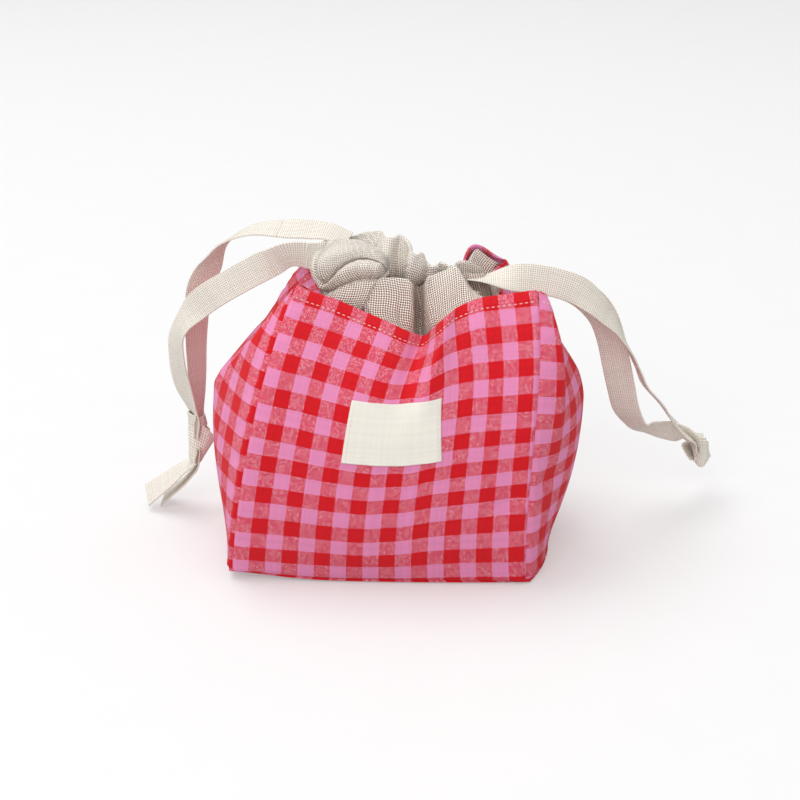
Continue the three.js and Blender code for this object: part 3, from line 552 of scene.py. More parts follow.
def cloth_moves(side, u, t):
    """How far the cloth stands off its wall, in millimetres."""
    width = WALLS[side][2]
    seed = list(WALLS).index(side) * 2.1
    from_seam = np.minimum(u, 1 - u) * width
    from_base = (t - BASE_LIP) * PANEL_LENGTH
    proud = SEAM_PROUD * (1 - np.exp(-from_seam / SEAM_RISE)) * np.exp(-from_seam / SEAM_FALL)
    lip = LIP_PROUD * (np.exp(-from_base / LIP_FALL) - np.exp(-from_base / LIP_RISE))
    lip = lip * growing(from_seam, LIP_FADE)
    beat = np.sin(t * 118 + seed) + 0.6 * np.sin(t * 71 + 2 * seed)
    pucker = PUCKER_DEPTH * beat * np.exp(-(((from_seam - PUCKER_AT) / PUCKER_REACH) ** 2))
    pucker = pucker * growing(from_seam, PUCKER_FADE)
    wave = np.sin(u * 9.5 + t * 3.0 + seed) * np.cos(t * 7.0 + u * 4.0 - seed)
    drag = np.sin(u * 19 - t * 6 + seed) * t**2
    slow = growing(from_seam, WAVE_FADE) * growing(t, 0.12) * growing(1 - t, 0.1)
    slow = slow * (WAVE_HEIGHT * wave + DRAG_HEIGHT * drag)
    creased = sum(crease(u, t, width, *line) for line in CREASES[side])
    creased = creased * growing(from_seam, CREASE_FADE) * growing(1 - t, 0.06)
    return proud + lip + pucker + slow + creased


def on_panel(side, u, t, off):
    """A point standing off the outside of a panel."""
    moves = cloth_moves(side, u, t) + off
    return settle(wall_point(side, u, t) + wall_normal(side, u, t) * moves[..., None])


print("creases:", {side: len(lines) for side, lines in CREASES.items()})

# %% [markdown]
# ## Gingham panels
# The top edge of each panel is turned in and topstitched. The panel's mesh therefore carries on past its
# edge: it rolls over in a half circle and runs down the inside as far as the hem is deep. Columns are closer
# together at the seams and rows at the base and the hem, where the cloth turns most. A plain subdivision
# would spend the same points on the flat middle. The cloth coordinates are measured along the surface,
# because cloth bends but hardly stretches, so the checks crowd where it is folded.

# %% Make the four panels
HEM = 7.4
HEM_ROLL = 0.9
CUT_HEIGHT = 177.0
SEAM_EASE = 0.8
# How far the hem stands out, and how sharp the step to it is
HEM_RISE, HEM_STEP = 0.5, 3.0
# The stitch line: how far above the hem's lower edge it lies, how deep it dips and how far the dip reaches
STITCH_INSET, STITCH_DIP, STITCH_REACH = 1.0, 0.4, 0.7
WALL_ROWS, HEM_ROWS, ROLL_ROWS = 88, 27, 6
ROLL_TAKES = 3
# Where each panel's checks start at its first seam and at the base, and how much wider it is cut at the top
CHECKS_FROM = {"front": (-0.3, 2.0), "right": (0.0, -6.0), "back": (0.0, 2.0), "left": (-7.3, -5.0)}
CUT_WIDER = {"front": 5.4, "right": 0.0, "back": 0.0, "left": 0.0}
# How far the weave has crept up at each panel's two seams, where the slack cloth sags above the base
CREPT_UP = {"front": (3.0, 10.0), "right": (9.0, 3.0), "back": (3.0, 3.0), "left": (3.0, 3.0)}


def panel_columns(width):
    """Places across a panel, close together beside its seams."""
    near = np.array([0, 0.4, 0.8, 1.3, 1.9, 2.6, 3.5, 4.6, 6, 7.6]) / width
    middle = np.linspace(9.6 / width, 1 - 9.6 / width, round(width / 1.8))
    return np.concatenate([near, middle, 1 - near[::-1]])


def measured(points, axis):
    """Shares of the length along the rows or columns of a grid of points."""
    steps = np.linalg.norm(np.diff(points, axis=axis), axis=2)
    total = np.cumsum(steps, axis=axis)
    shares = total / np.take(total, [-1], axis=axis)
    return np.concatenate([np.zeros_like(np.take(shares, [0], axis=axis)), shares], axis=axis)


def cloth_places(side, u, t):
    """Cloth coordinates of places on a wall, in millimetres from where the checks start."""
    smooth = wall_point(side, u, t)
    start_x, start_y = CHECKS_FROM[side]
    width = WALLS[side][2] + SEAM_EASE + CUT_WIDER[side] * t
    first, last = CREPT_UP[side]
    creep = (first + (last - first) * u) * (1 - ease(t, 0.3, 0.62)) * (0.6 + 0.4 * np.minimum(t / 0.3, 1))
    across = start_x + width * measured(smooth, 1)
    return np.stack([across, start_y + CUT_HEIGHT * measured(smooth, 0) - creep], axis=-1)


def hemmed_wall(side):
    """Points and cloth coordinates of a panel with its hem rolled over."""
    length = arc_lengths(curve_point(side, np.linspace(0, 1, 200)))[-1]
    hem_start = 1 - 2 * HEM / length
    low = BASE_LIP + np.array([0, 0.4, 0.9, 1.6, 2.6, 4, 6]) / length
    middle, top = np.linspace(low[-1], hem_start, WALL_ROWS), np.linspace(hem_start, 1, HEM_ROWS)
    u, t = np.meshgrid(panel_columns(WALLS[side][2]), np.concatenate([low, middle[1:], top[1:]]))
    below = (1 - t) * length
    raised = HEM_RISE / (1 + np.exp(np.minimum((below - HEM) * HEM_STEP, 50)))
    stitched = raised - STITCH_DIP * np.exp(-(((below - HEM + STITCH_INSET) / STITCH_REACH) ** 2))
    surface = on_panel(side, u, t, stitched)
    cloth = cloth_places(side, u, t)
    out = wall_normal(side, u, t)
    upward = unit(surface[-1] - surface[-3])
    turns = np.linspace(0, math.pi, ROLL_ROWS + 1)[1:]
    over = [upward * math.sin(a) - out[-1] * (1 - math.cos(a)) for a in turns]
    roll = surface[-1] + HEM_ROLL * np.stack(over)
    down_inside = slice(-2, -2 - HEM_ROWS // 2, -1)
    inner = (surface - out * 2 * HEM_ROLL)[down_inside]
    past = np.concatenate([turns * HEM_ROLL, ROLL_TAKES + below[down_inside, 0]])
    folded = cloth[-1] + past[:, None, None] * np.array([0, 1.0])
    return np.concatenate([surface, roll, inner]), np.concatenate([cloth, folded])


panels = {}
for side in WALLS:
    points, cloth = hemmed_wall(side)
    panels[side] = grid_mesh(f"gingham_{side}", points, cloth)
    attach(panels[side], "bag")
    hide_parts(f"outer_{side}")
    print(f"{side} panel:", points.shape[0], "rows of", points.shape[1], "points")

# %% [markdown]
# ## Base and lining
# The base is one panel that closes the box. A filled face would be flat and have no inner points, so it is
# spread as a grid between the four bottom edges. It lies flat on the table and turns up a little at its rim,
# where a thin lip of it shows under the walls. The lining is a second box of plain canvas a couple of
# millimetres inside the first. Little of it shows, at the open corners of the mouth, but the inside of a bag
# is where an owner looks first.

# %% Make the base and the lining
RIM_POWER = 60
BASE_CHECKS_FROM = 14
LINING_DEPTH = 2.2
LINING_LEVELS = (0.014, 0.972)


def spread(front, right, back, left, across, up):
    """A sheet between four edges that run round it, front left to right and so on."""
    across, up = across[None, :, None], up[:, None, None]
    low, high = front[None], back[::-1][None]
    first, last = left[::-1][:, None], right[:, None]
    ruled = low * (1 - up) + high * up + first * (1 - across) + last * across
    corners = front[0] * (1 - across) * (1 - up) + front[-1] * across * (1 - up)
    return ruled - corners - back[-1] * (1 - across) * up - back[0] * across * up


def wall_inside(side, u, t, depth):
    """A point at a depth inside a wall, kept clear of the neighbouring walls."""
    place = 0.5 + (u - 0.5) * (1 - 2 * depth / WALLS[side][2])
    return settle(wall_point(side, place, t) - wall_normal(side, place, t) * depth)


def flat_base(name, level, depth, height, bulge):
    """A base panel at a depth inside the walls, turned up at its rim, which bulges out."""
    line = (1 - np.cos(np.linspace(0, math.pi, 61))) / 2
    edges = [wall_inside(side, line, np.full_like(line, level), depth) for side in WALLS]
    points = spread(*edges, line, line)
    rim = np.maximum(np.abs(2 * line[None] - 1), np.abs(2 * line[:, None] - 1)) ** RIM_POWER
    flat = settle(points * np.array([1, 1, 0]))[..., 2] + height
    points[..., 2] = flat + (points[..., 2] - flat) * rim
    points[..., :2] *= 1 + (bulge * 4 * rim * (1 - rim) / RIM_POWER)[..., None]
    cloth = np.stack(np.meshgrid(line * BASE_WIDTH, BASE_CHECKS_FROM + line * BASE_DEPTH), axis=-1)
    panel = grid_mesh(name, points, cloth)
    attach(panel, "bag")
    return panel


gingham_base = flat_base("gingham_base", level=BASE_LIP, depth=-0.2, height=0.1, bulge=1.8)
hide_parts("outer_base")
canvas_depth = LINING_DEPTH + 0.6
canvas_base = flat_base("lining_base_cloth", level=0.02, depth=canvas_depth, height=2.2, bulge=0.0)
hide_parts("lining_base")
linings = {}
for side in WALLS:
    u, t = np.meshgrid(np.linspace(0, 1, 61), np.linspace(*LINING_LEVELS, 61))
    points = wall_inside(side, u, t, LINING_DEPTH)
    linings[side] = grid_mesh(f"lining_{side}_cloth", points, cloth_places(side, u, t))
    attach(linings[side], "bag")
    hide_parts(f"lining_{side}")
print("lining pieces:", len(linings) + 1)

# %% [markdown]
# ## The gathered collar
# A straight band of canvas is sewn inside the mouth, longer than the opening it has to close, and drawn up
# by the tapes in its casing. Cloth that can't stretch has to fold, so the band makes broad facets with deep
# pleats between them, and rolls over itself where there is most of it. A cloth simulation would find other
# folds at every run, so these are drawn: each fold line is a list of points from the mouth's edge to the
# casing's top. Smooth lines through them make one sheet for each half. Its lower part is the skirt, sewn to
# the bag, and its upper part the casing.

# %% Fold lines of the collar
# Place on the mouth, from 0 at the left wall's middle through 1 and 2 at the corners to 3 at the right wall's
# middle, then the points of the fold line
FOLD_LINES = {
    "front": [
        (0.0, [(-32.5, 5, 164), (-42, 4, 176), (-42, 4, 190), (-34, 7, 196)]),
        (0.5, [(-34, -4, 166), (-42, -5, 176), (-41, -5, 187), (-31, 3, 197)]),
        (0.9, [(-42, -11, 160), (-36, -12, 163), (-34, -12, 166), (-33, -10, 167.5), (-32, -7, 167),
               (-35, -9, 168.5), (-36, -11, 171), (-35, -9, 173), (-34, -7, 172.5), (-38, -9, 176),
               (-37, -8, 188), (-25, 3, 197)]),
        (1.12, [(-34, -18, 156), (-28, -18, 163), (-25, -15, 169), (-23, -11, 172.5),
                (-22, -7, 171.5), (-23, -10, 176), (-24, -11, 181), (-22, -7, 184), (-20, -1, 182.5),
                (-24, -6, 186), (-25, -6, 192), (-15, 5, 196.5)]),
        (1.2, [(-22, -19, 153), (-18, -18, 162), (-15, -14.5, 170), (-13, -10, 175),
               (-12, -5, 174.5), (-13, -8, 179), (-13, -9, 184), (-11, -5, 187), (-9, 1, 185.5),
               (-12, -3, 188.5), (-10, -2, 193), (-5, 6, 192.5)]),
        (1.25, [(-15, -18, 153), (-9, -15.5, 163), (-6, -12, 170), (-3, -8, 174), (-2, -3, 174),
                (-2, -6, 178), (-2, -7, 181), (0, -4, 183.5), (1, 1, 182), (0, -2, 184),
                (1, -1, 187), (4, 5, 186)]),
        (1.27, [(-12, -11, 150), (-8, -7, 156), (-5, -4, 162), (-2, -2, 167), (-1, 0, 169),
                (0, 0, 171), (0.5, 0, 173), (1.5, 1, 174.5), (2, 2, 175), (2.3, 2, 176),
                (2.6, 2.2, 177), (3, 2.5, 178)]),
        (1.30, [(-10, -18, 160), (-7, -10, 170), (-2, -7, 175.5)]),
        (1.38, [(4, -20, 158), (5, -12, 168), (4, -8, 176)]),
        (1.44, [(13, -20, 153), (13, -14, 164), (12, -9.5, 176)]),
        (1.475, [(19, -20, 148), (19, -17, 160), (18.5, -12, 174.5)]),
        (1.488, [(21.5, -9, 141), (21, -2, 155), (20.5, 3, 167)]),
        (1.50, [(25, -9, 141), (24.5, -2, 155), (24, 3, 168)]),
        (1.515, [(28.5, -19, 148), (27, -15, 161), (26.5, -10, 175)]),
        (1.55, [(32, -23, 157), (31, -15, 167), (30.5, -7, 177.5)]),
        (1.62, [(40, -26, 163), (39, -15, 172), (37.5, -4, 180)]),
        (1.70, [(50, -19, 168), (48, -8, 176), (45, -1, 182)]),
        (1.76, [(57, -19, 169), (54, -12, 171), (51, -5, 174)]),
        (1.79, [(61, -18, 168), (59, -14, 167.5), (57.5, -10, 167)]),
        (1.81, [(64, -15, 154), (58, -5, 150), (53, 3, 160), (50, 7, 174)]),
        (1.92, [(72, -12, 148), (62, -3, 147), (57, 4, 158), (54, 7, 174)]),
        (2.0, [(80, -7, 149), (66, 0, 148), (62, 5, 160), (58, 8, 174)]),
        (3.0, [(68, 6, 150), (66, 7, 162), (62, 8, 174)]),
    ],
    "back": [
        (0.0, [(-32.5, 9, 164), (-42, 9, 176), (-41, 10, 184), (-33, 12, 190)]),
        (0.6, [(-33, 13, 168), (-33, 15, 182), (-24, 18, 193)]),
        (1.1, [(-24, 14, 172), (-22, 18, 185), (-15, 21, 195.2)]),
        (1.25, [(-14, 13, 174), (-12, 17, 186), (-7, 21, 196)]),
        (1.33, [(-7, 12, 174), (-6, 15, 186), (-1, 19, 196.7)]),
        (1.38, [(-2, 8, 172), (-1, 9, 184), (2, 13, 195)]),
        (1.43, [(3, 6, 172), (2, 6, 184), (5, 12, 195)]),
        (1.48, [(9, 12, 172), (8, 16, 185), (9.3, 19, 195.2)]),
        (1.53, [(16, 11, 172), (16, 13, 184), (15, 16, 193.4)]),
        (1.57, [(19, 8, 170), (19, 4, 180), (18, 8, 192)]),
        (1.60, [(15, 3, 168), (15, 1, 177), (19, 4, 187.5)]),
        (1.64, [(21, 7, 170), (22, 4, 178), (23, 8, 187)]),
        (1.68, [(27, 9, 170), (28, 8, 177), (27, 8, 182.5)]),
        (1.73, [(31, 5, 169), (31, 4, 174), (31, 4, 180)]),
        (1.78, [(36, 9, 169), (37, 8, 176), (35.5, 7, 182)]),
        (1.82, [(41, 6, 168), (41, 5, 174), (42, 5, 180)]),
        (1.88, [(48, 18, 162), (47, 12, 166), (47, 11, 175), (46, 9, 182)]),
        (1.95, [(62, 30, 154), (55, 17, 158), (53, 14, 170), (53, 12, 181)]),
        (2.3, [(68, 19, 152), (62, 15, 158), (61, 14, 168), (58, 13, 178)]),
        (3.0, [(67, 16, 155), (65, 16, 165), (62, 14, 175)]),
    ],
}
# The cloth is measured facet by facet: each ends at the first place and is measured from the second.
FACETS = {
    "front": [(1.27, 1.0), (1.494, 1.4), (1.8, 1.62), (3.01, 2.0)],
    "back": [(1.35, 1.0), (1.58, 1.48), (1.85, 1.7), (3.01, 2.1)],
}
FOLD_STEPS = 10
FOLD_POINTS = 14
COLLAR_ROWS = 4 * (FOLD_POINTS - 1) + 1
SKIRT_DEPTH = 2.6
SEWN_AT = (0.955, 0.995)
# Between these shares of a fold line's length its foot lets go of the mouth
FOOT_HELD = (0.08, 0.35)


def mouth_point(half, place, t):
    """The inside of the mouth at a place along one half of the collar."""
    wall = min(int(place), 2)
    side = ("left", half, "right")[wall]
    share = place - wall
    u = (0.5 + share / 2, share, share / 2)[wall]
    if half == "back":
        u = 1 - u
    return wall_inside(side, np.clip([u], 0.02, 0.98), np.array([t]), SKIRT_DEPTH)[0]


def collar_surface(half):
    """Rows of points of one half, from its foot behind the hem to its top, and its columns' places."""
    lines = []
    for place, points in FOLD_LINES[half]:
        sewn = [mouth_point(half, place, level) for level in SEWN_AT]
        line = np.array([*sewn, *points], float)
        if len(line) < FOLD_POINTS:
            line = even_line(spline(line, 240), FOLD_POINTS)
        lines.append(spline(line, COLLAR_ROWS).ravel())
    count = FOLD_STEPS * (len(lines) - 1) + 1
    surface = spline(lines, count).reshape(count, COLLAR_ROWS, 3).swapaxes(0, 1)
    places = np.clip(spline([[place] for place, _ in FOLD_LINES[half]], count)[:, 0], 0, 3)
    foot = np.stack([mouth_point(half, place, SEWN_AT[0]) for place in places])
    hold = 1 - ease(np.linspace(0, 1, COLLAR_ROWS), *FOOT_HELD)
    return surface + hold[:, None, None] * (foot - surface[0]), places


def laid_out(points, half, places):
    """Cloth coordinates of a grid: lengths along its rows, facet by facet, and up its columns."""
    across, up = (np.linalg.norm(np.diff(points, axis=axis), axis=2) for axis in (1, 0))
    across = np.pad(np.cumsum(across, axis=1), ((0, 0), (1, 0)))
    up = np.pad(np.cumsum(up, axis=0), ((1, 0), (0, 0)))
    start = -1.0
    for end, middle in FACETS[half]:
        facet = (places > start) & (places <= end)
        across[:, facet] -= across[:, [np.argmin(np.abs(places - middle))]]
        start = end
    return np.stack([across, up], axis=-1)


print("fold lines:", {half: len(lines) for half, lines in FOLD_LINES.items()})

# %% Make the skirts and the casings
CASING_FROM = 19
CASING_DEEP = 2.4
TUCKED = 7
# The small gathers: their pitches, the share of the fine ones, their depth, and where on the fold lines'
# length they lie and how far they reach
COARSE_GATHER, FINE_GATHER = 6.3, 4.1
FINE_SHARE = 0.6
GATHER_DEPTH = 0.3
GATHER_AT, GATHER_REACH = 0.5, 0.25
collar_pieces = {}
for half in FOLD_LINES:
    surface, places = collar_surface(half)
    steps = np.linalg.norm(np.diff(surface, axis=1), axis=2)
    span = np.concatenate([[0], np.cumsum(np.mean(steps, axis=0))])
    out = unit(np.cross(np.gradient(surface, axis=1), np.gradient(surface, axis=0)))
    out = out if half == "front" else -out
    turning = span * 2 * math.pi
    gather = np.sin(turning / COARSE_GATHER) + FINE_SHARE * np.sin(turning / FINE_GATHER + 1)
    level = np.linspace(0, 1, COLLAR_ROWS)[:, None]
    strength = np.exp(-(((level - GATHER_AT) / GATHER_REACH) ** 2))
    surface = surface + out * (GATHER_DEPTH * gather * strength)[..., None]
    upper, upper_out = surface[CASING_FROM:], out[CASING_FROM:]
    rise = unit(surface[-1] - surface[-3])
    turns = np.linspace(0, math.pi, 9)[1:-1]
    middle = surface[-1] - out[-1] * CASING_DEEP / 2
    roll = [middle + CASING_DEEP / 2 * (out[-1] * math.cos(a) + rise * math.sin(a)) for a in turns]
    casing = np.concatenate([upper, np.stack(roll), (upper - upper_out * CASING_DEEP)[::-1]])
    depth = np.linspace(0.1, CASING_DEEP / 2, TUCKED)[:, None, None]
    skirt = np.concatenate([surface[:CASING_FROM], (upper - upper_out * depth[-1])[:TUCKED]])
    skirt[CASING_FROM:] += upper_out[:TUCKED] * (depth[-1] - depth)
    for part, rows in (("skirt", skirt), ("casing", casing)):
        cloth = laid_out(rows, half, places)
        if half == "back":
            rows, cloth = rows[:, ::-1], cloth[:, ::-1]
        collar_pieces[half, part] = grid_mesh(f"{half}_{part}_canvas", rows, cloth)
    print(f"{half} collar: {rows.shape[1]} columns, {span[-1]:.0f} mm of cloth along it")
for half in FOLD_LINES:
    for part in ("skirt", "casing"):
        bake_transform(collar_pieces[half, part])
    runs = [f"{side}_tape_{half}_run" for side in ("left", "right")]
    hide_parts(f"{half}_skirt")
    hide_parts(f"{half}_casing", *runs)

# %% [markdown]
# ## The label
# A small plain cotton label is sewn to the front panel by its two short ends. Its long edges are left free
# and stand a little off the panel. A shrinkwrap modifier could lay it on the cloth, but would flatten those
# edges too. It is therefore spread over the panel's own surface, so that it bows with it.

# %% Make the label
# The corners' u and t on the front panel, from the lower left one round to the upper left one
LABEL_CORNERS = [(0.327, 0.492), (0.676, 0.506), (0.638, 0.722), (0.317, 0.702)]
LABEL_WIDTH, LABEL_HEIGHT = 56, 40
LABEL_THICKNESS = 0.5
LABEL_OFF = 0.75
LABEL_EDGE_LIFT = 0.5
LABEL_RIPPLE = 0.6


def label_place(across, up):
    """The panel's u and t at a place on the label."""
    (u0, t0), (u1, t1), (u2, t2), (u3, t3) = LABEL_CORNERS
    u = (u0 + (u1 - u0) * across) * (1 - up) + (u3 + (u2 - u3) * across) * up
    t = (t0 + (t1 - t0) * across) * (1 - up) + (t3 + (t2 - t3) * across) * up
    return u, t


across, up = np.meshgrid(np.linspace(0, 1, 61), np.linspace(0, 1, 45))
u, t = label_place(across, up)
free = LABEL_EDGE_LIFT * np.abs(2 * up - 1) ** 6 * (1 - np.abs(2 * across - 1) ** 6)
lift = LABEL_OFF + free * (1 + LABEL_RIPPLE * np.sin(across * 23))
label_points = on_panel("front", u, t, lift)
label_cloth = np.stack([across * LABEL_WIDTH, up * LABEL_HEIGHT], axis=-1)
label = grid_mesh("label_cloth", label_points, label_cloth)
thick = label.modifiers.new("thickness", "SOLIDIFY")
thick.thickness = LABEL_THICKNESS * MM
thick.offset = -1
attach(label, "bag")
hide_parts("label")
label_edge = np.linalg.norm(label_points[0, -1] - label_points[0, 0])
print("label:", round(label_edge), "mm along its lower edge")

# %% [markdown]
# ## Stitches
# The topstitching is white thread, three stitches to the centimetre, about six millimetres below the edge,
# and the label has a column of small stitches at each end. Painted dashes would lie flat and cast no shadow,
# so each stitch is a short spindle of thread that dips into the cloth at both ends.

# %% Sew the stitches
STITCH_SIDES = 6
# Length, gap and radius of a stitch
TOPSTITCH = (2.3, 1.0, 0.26)
LABEL_STITCH = (1.6, 1.1, 0.3)
LABEL_STITCH_OFF = 0.8


def stitch_rings(start, end, out, radius):
    """Rings of one stitch from start to end, raised in its middle."""
    side = unit(np.cross(end - start, out))
    share = np.linspace(0, 1, 7)[:, None, None]
    bow = np.sin(math.pi * share)
    angles = np.linspace(0, 2 * math.pi, STITCH_SIDES, endpoint=False)[None, :, None]
    centres = start + (end - start) * share + out * radius * (1.5 * bow - 0.7)
    size = radius * (0.35 + 0.65 * np.sqrt(np.abs(bow)))
    return centres + size * (side * np.cos(angles) + out * np.sin(angles))


def sew(name, line, outs, stitch, gap, radius):
    """One piece holding every stitch along a line of points with the way out at each."""
    lengths = arc_lengths(line)
    starts = np.arange(0.4, lengths[-1] - stitch, stitch + gap)
    facing = [np.interp(starts, lengths, outs[:, k]) for k in range(3)]
    facing = unit(np.stack(facing, axis=1))
    points, faces, corners = [], [], []
    for start, end, out in zip(at_lengths(line, starts), at_lengths(line, starts + stitch), facing):
        rings = stitch_rings(start, end, out, radius)
        for ring in range(len(rings) - 1):
            low = len(points) + ring * STITCH_SIDES
            for k in range(STITCH_SIDES):
                after = (k + 1) % STITCH_SIDES
                faces.append([low + k, low + after, low + STITCH_SIDES + after, low + STITCH_SIDES + k])
                corners += [(ring, k), (ring, k + 1), (ring + 1, k + 1), (ring + 1, k)]
        points += rings.reshape(-1, 3).tolist()
    piece = add_mesh(name, points, faces, np.array(corners) * 0.4)
    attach(piece, "bag")
    return piece


stitches = {}
for side in WALLS:
    length = arc_lengths(curve_point(side, np.linspace(0, 1, 200)))[-1]
    u = np.linspace(0.012, 0.988, 600)
    t = np.full_like(u, 1 - (HEM - STITCH_INSET) / length)
    line = on_panel(side, u, t, np.zeros_like(u))
    stitches[side] = sew(f"topstitch_{side}", line, wall_normal(side, u, t), *TOPSTITCH)
label_stitches = []
for end, name in ((0.035, "left"), (0.965, "right")):
    up = np.linspace(0.06, 0.94, 300)
    u, t = label_place(np.full_like(up, end), up)
    line = on_panel("front", u, t, np.full_like(up, LABEL_STITCH_OFF))
    label_stitches.append(sew(f"label_stitch_{name}", line, wall_normal("front", u, t), *LABEL_STITCH))
print("stitched seams:", len(stitches) + len(label_stitches))

# %% [markdown]
# A simulation that picks these pieces up later needs to know what each one is. It could guess the flat size
# from the mesh, but not what is turned in at a hem or a seam.

# %% [markdown]
# ## Woven threads
# All the cloth here is a plain weave: warp threads run up, weft threads across, and each passes over and
# under the other in turn. A picture of cloth would blur close up, so one node group works the weave out from
# the cloth coordinates. It gives the height of the threads, which of the two lies on top, the small dark gaps
# where four of them meet, a shade that is a little different for every thread, and a random fleck for every
# crossing. The materials use it at their own scale.

# %% Node helpers and the weave group
def calc(tree, operation, *values):
    """A maths node. Each value is a number or another node's output."""
    node = tree.nodes.new("ShaderNodeMath")
    node.operation = operation
    for socket, value in zip(node.inputs, values):
        if isinstance(value, bpy.types.NodeSocket):
            tree.links.new(value, socket)
        else:
            socket.default_value = value
    return node.outputs[0]


def new_group(name, inputs, outputs):
    """An empty shader node group with named sockets."""
    tree = bpy.data.node_groups.new(name, "ShaderNodeTree")
    for socket, kind in inputs:
        tree.interface.new_socket(socket, in_out="INPUT", socket_type=kind)
    for socket, kind in outputs:
        tree.interface.new_socket(socket, in_out="OUTPUT", socket_type=kind)
    return tree, tree.nodes.new("NodeGroupInput"), tree.nodes.new("NodeGroupOutput")


def split(tree, vector):
    """The X and Y of a vector."""
    node = tree.nodes.new("ShaderNodeSeparateXYZ")
    tree.links.new(vector, node.inputs[0])
    return node.outputs[0], node.outputs[1]


def rounded(tree, thread):
    """The round height of a thread across its width."""
    return calc(tree, "SINE", calc(tree, "MULTIPLY", calc(tree, "FRACT", thread), math.pi))


weave, source, result = new_group(
    "Woven threads",
    [("Cloth", "NodeSocketVector"), ("Pitch", "NodeSocketFloat")],
    [(name, "NodeSocketFloat") for name in ("Height", "Warp on top", "Gap", "Shade", "Fleck")],
)
x, y = split(weave, source.outputs["Cloth"])
warp = calc(weave, "DIVIDE", x, source.outputs["Pitch"])
weft = calc(weave, "DIVIDE", y, source.outputs["Pitch"])
warp_number = calc(weave, "FLOOR", warp)
weft_number = calc(weave, "FLOOR", weft)
on_top = calc(weave, "FLOORED_MODULO", calc(weave, "ADD", warp_number, weft_number), 2.0)
under = calc(weave, "SUBTRACT", 1.0, on_top)
warp_round, weft_round = rounded(weave, warp), rounded(weave, weft)
warp_part = calc(weave, "MULTIPLY", warp_round, on_top)
weft_part = calc(weave, "MULTIPLY", weft_round, under)
beside = [calc(weave, "SUBTRACT", 1.0, thread) for thread in (warp_round, weft_round)]
top_warp = calc(weave, "MULTIPLY", warp_number, on_top)
top_weft = calc(weave, "MULTIPLY", calc(weave, "ADD", weft_number, 0.5), under)
shade = weave.nodes.new("ShaderNodeTexWhiteNoise")
shade.noise_dimensions = "1D"
weave.links.new(calc(weave, "ADD", top_warp, top_weft), shade.inputs["W"])
crossing = weave.nodes.new("ShaderNodeCombineXYZ")
weave.links.new(warp_number, crossing.inputs[0])
weave.links.new(weft_number, crossing.inputs[1])
fleck = weave.nodes.new("ShaderNodeTexWhiteNoise")
fleck.noise_dimensions = "2D"
weave.links.new(crossing.outputs[0], fleck.inputs["Vector"])
weave.links.new(calc(weave, "ADD", warp_part, weft_part), result.inputs["Height"])
weave.links.new(on_top, result.inputs["Warp on top"])
weave.links.new(calc(weave, "MULTIPLY", *beside), result.inputs["Gap"])
weave.links.new(shade.outputs["Value"], result.inputs["Shade"])
weave.links.new(fleck.outputs["Value"], result.inputs["Fleck"])
print("weave group:", len(weave.nodes), "nodes")

# %% [markdown]
# ## Gingham checks and slubs
# Gingham needs no printing: red and pink threads are laid in equal stripes both ways. Where red crosses red
# the cloth is red, where pink crosses pink it is pink, and where they mix, each thread shows its own dye in
# turn, which makes the speckled middle tone. The group does the same, with the weave's own over and under.
# A second group gives the slubs, the thicker and thinner places of spun cotton.

# %% The check group and the slub group
checks, source, result = new_group(
    "Gingham checks",
    [("Cloth", "NodeSocketVector"), ("Check", "NodeSocketFloat"), ("Warp on top", "NodeSocketFloat")],
    [("Dark thread", "NodeSocketFloat"), ("Mixed", "NodeSocketFloat")],
)
stripes = []
for place in split(checks, source.outputs["Cloth"]):
    number = calc(checks, "FLOOR", calc(checks, "DIVIDE", place, source.outputs["Check"]))
    stripes.append(calc(checks, "FLOORED_MODULO", number, 2.0))
weft_top = calc(checks, "SUBTRACT", 1.0, source.outputs["Warp on top"])
warp_dark = calc(checks, "MULTIPLY", stripes[0], source.outputs["Warp on top"])
weft_dark = calc(checks, "MULTIPLY", stripes[1], weft_top)
mixed = calc(checks, "ABSOLUTE", calc(checks, "SUBTRACT", stripes[0], stripes[1]))
checks.links.new(calc(checks, "ADD", warp_dark, weft_dark), result.inputs["Dark thread"])
checks.links.new(mixed, result.inputs["Mixed"])

slubs, source, result = new_group(
    "Slubs", [("Cloth", "NodeSocketVector"), ("Size", "NodeSocketFloat")], [("Tint", "NodeSocketFloat")]
)
scaled = slubs.nodes.new("ShaderNodeVectorMath")
scaled.operation = "SCALE"
slubs.links.new(source.outputs["Cloth"], scaled.inputs[0])
slubs.links.new(calc(slubs, "DIVIDE", 1.0, source.outputs["Size"]), scaled.inputs["Scale"])
cloudy = slubs.nodes.new("ShaderNodeTexNoise")
cloudy.inputs["Detail"].default_value = 4.0
cloudy.inputs["Roughness"].default_value = 0.65
slubs.links.new(scaled.outputs[0], cloudy.inputs["Vector"])
slubs.links.new(cloudy.outputs[0], result.inputs["Tint"])
print("groups:", [group.name for group in bpy.data.node_groups])

# %% [markdown]
# ## Materials
# Each cloth is a rough dielectric with a soft sheen from its loose fibres. The dyes are mixed thread by
# thread, the slubs tint them, and the height of the threads goes through a bump node, since modelled threads
# would be far too many. Low in the collar, and on the lining below it, the canvas's dark gaps are widened as
# painted shade. In mixed checks the pink threads are pulled toward red as painted shade between crossing
# threads, and the canvas's gaps are tinted red as a painted pink reflection from the gingham.

# %% Helpers for cloth materials
def new_material(name, roughness, sheen):
    """A cloth material with its shader and the cloth coordinates ready to use."""
    material = bpy.data.materials.new(name)
    material.use_nodes = True
    tree = material.node_tree
    shader = tree.nodes["Principled BSDF"]
    shader.inputs["Roughness"].default_value = roughness
    shader.inputs["Specular IOR Level"].default_value = 0.2
    shader.inputs["Sheen Weight"].default_value = sheen
    shader.inputs["Sheen Roughness"].default_value = 0.6
    place = tree.nodes.new("ShaderNodeUVMap")
    place.uv_map = "cloth"
    return material, tree, shader, place.outputs["UV"]


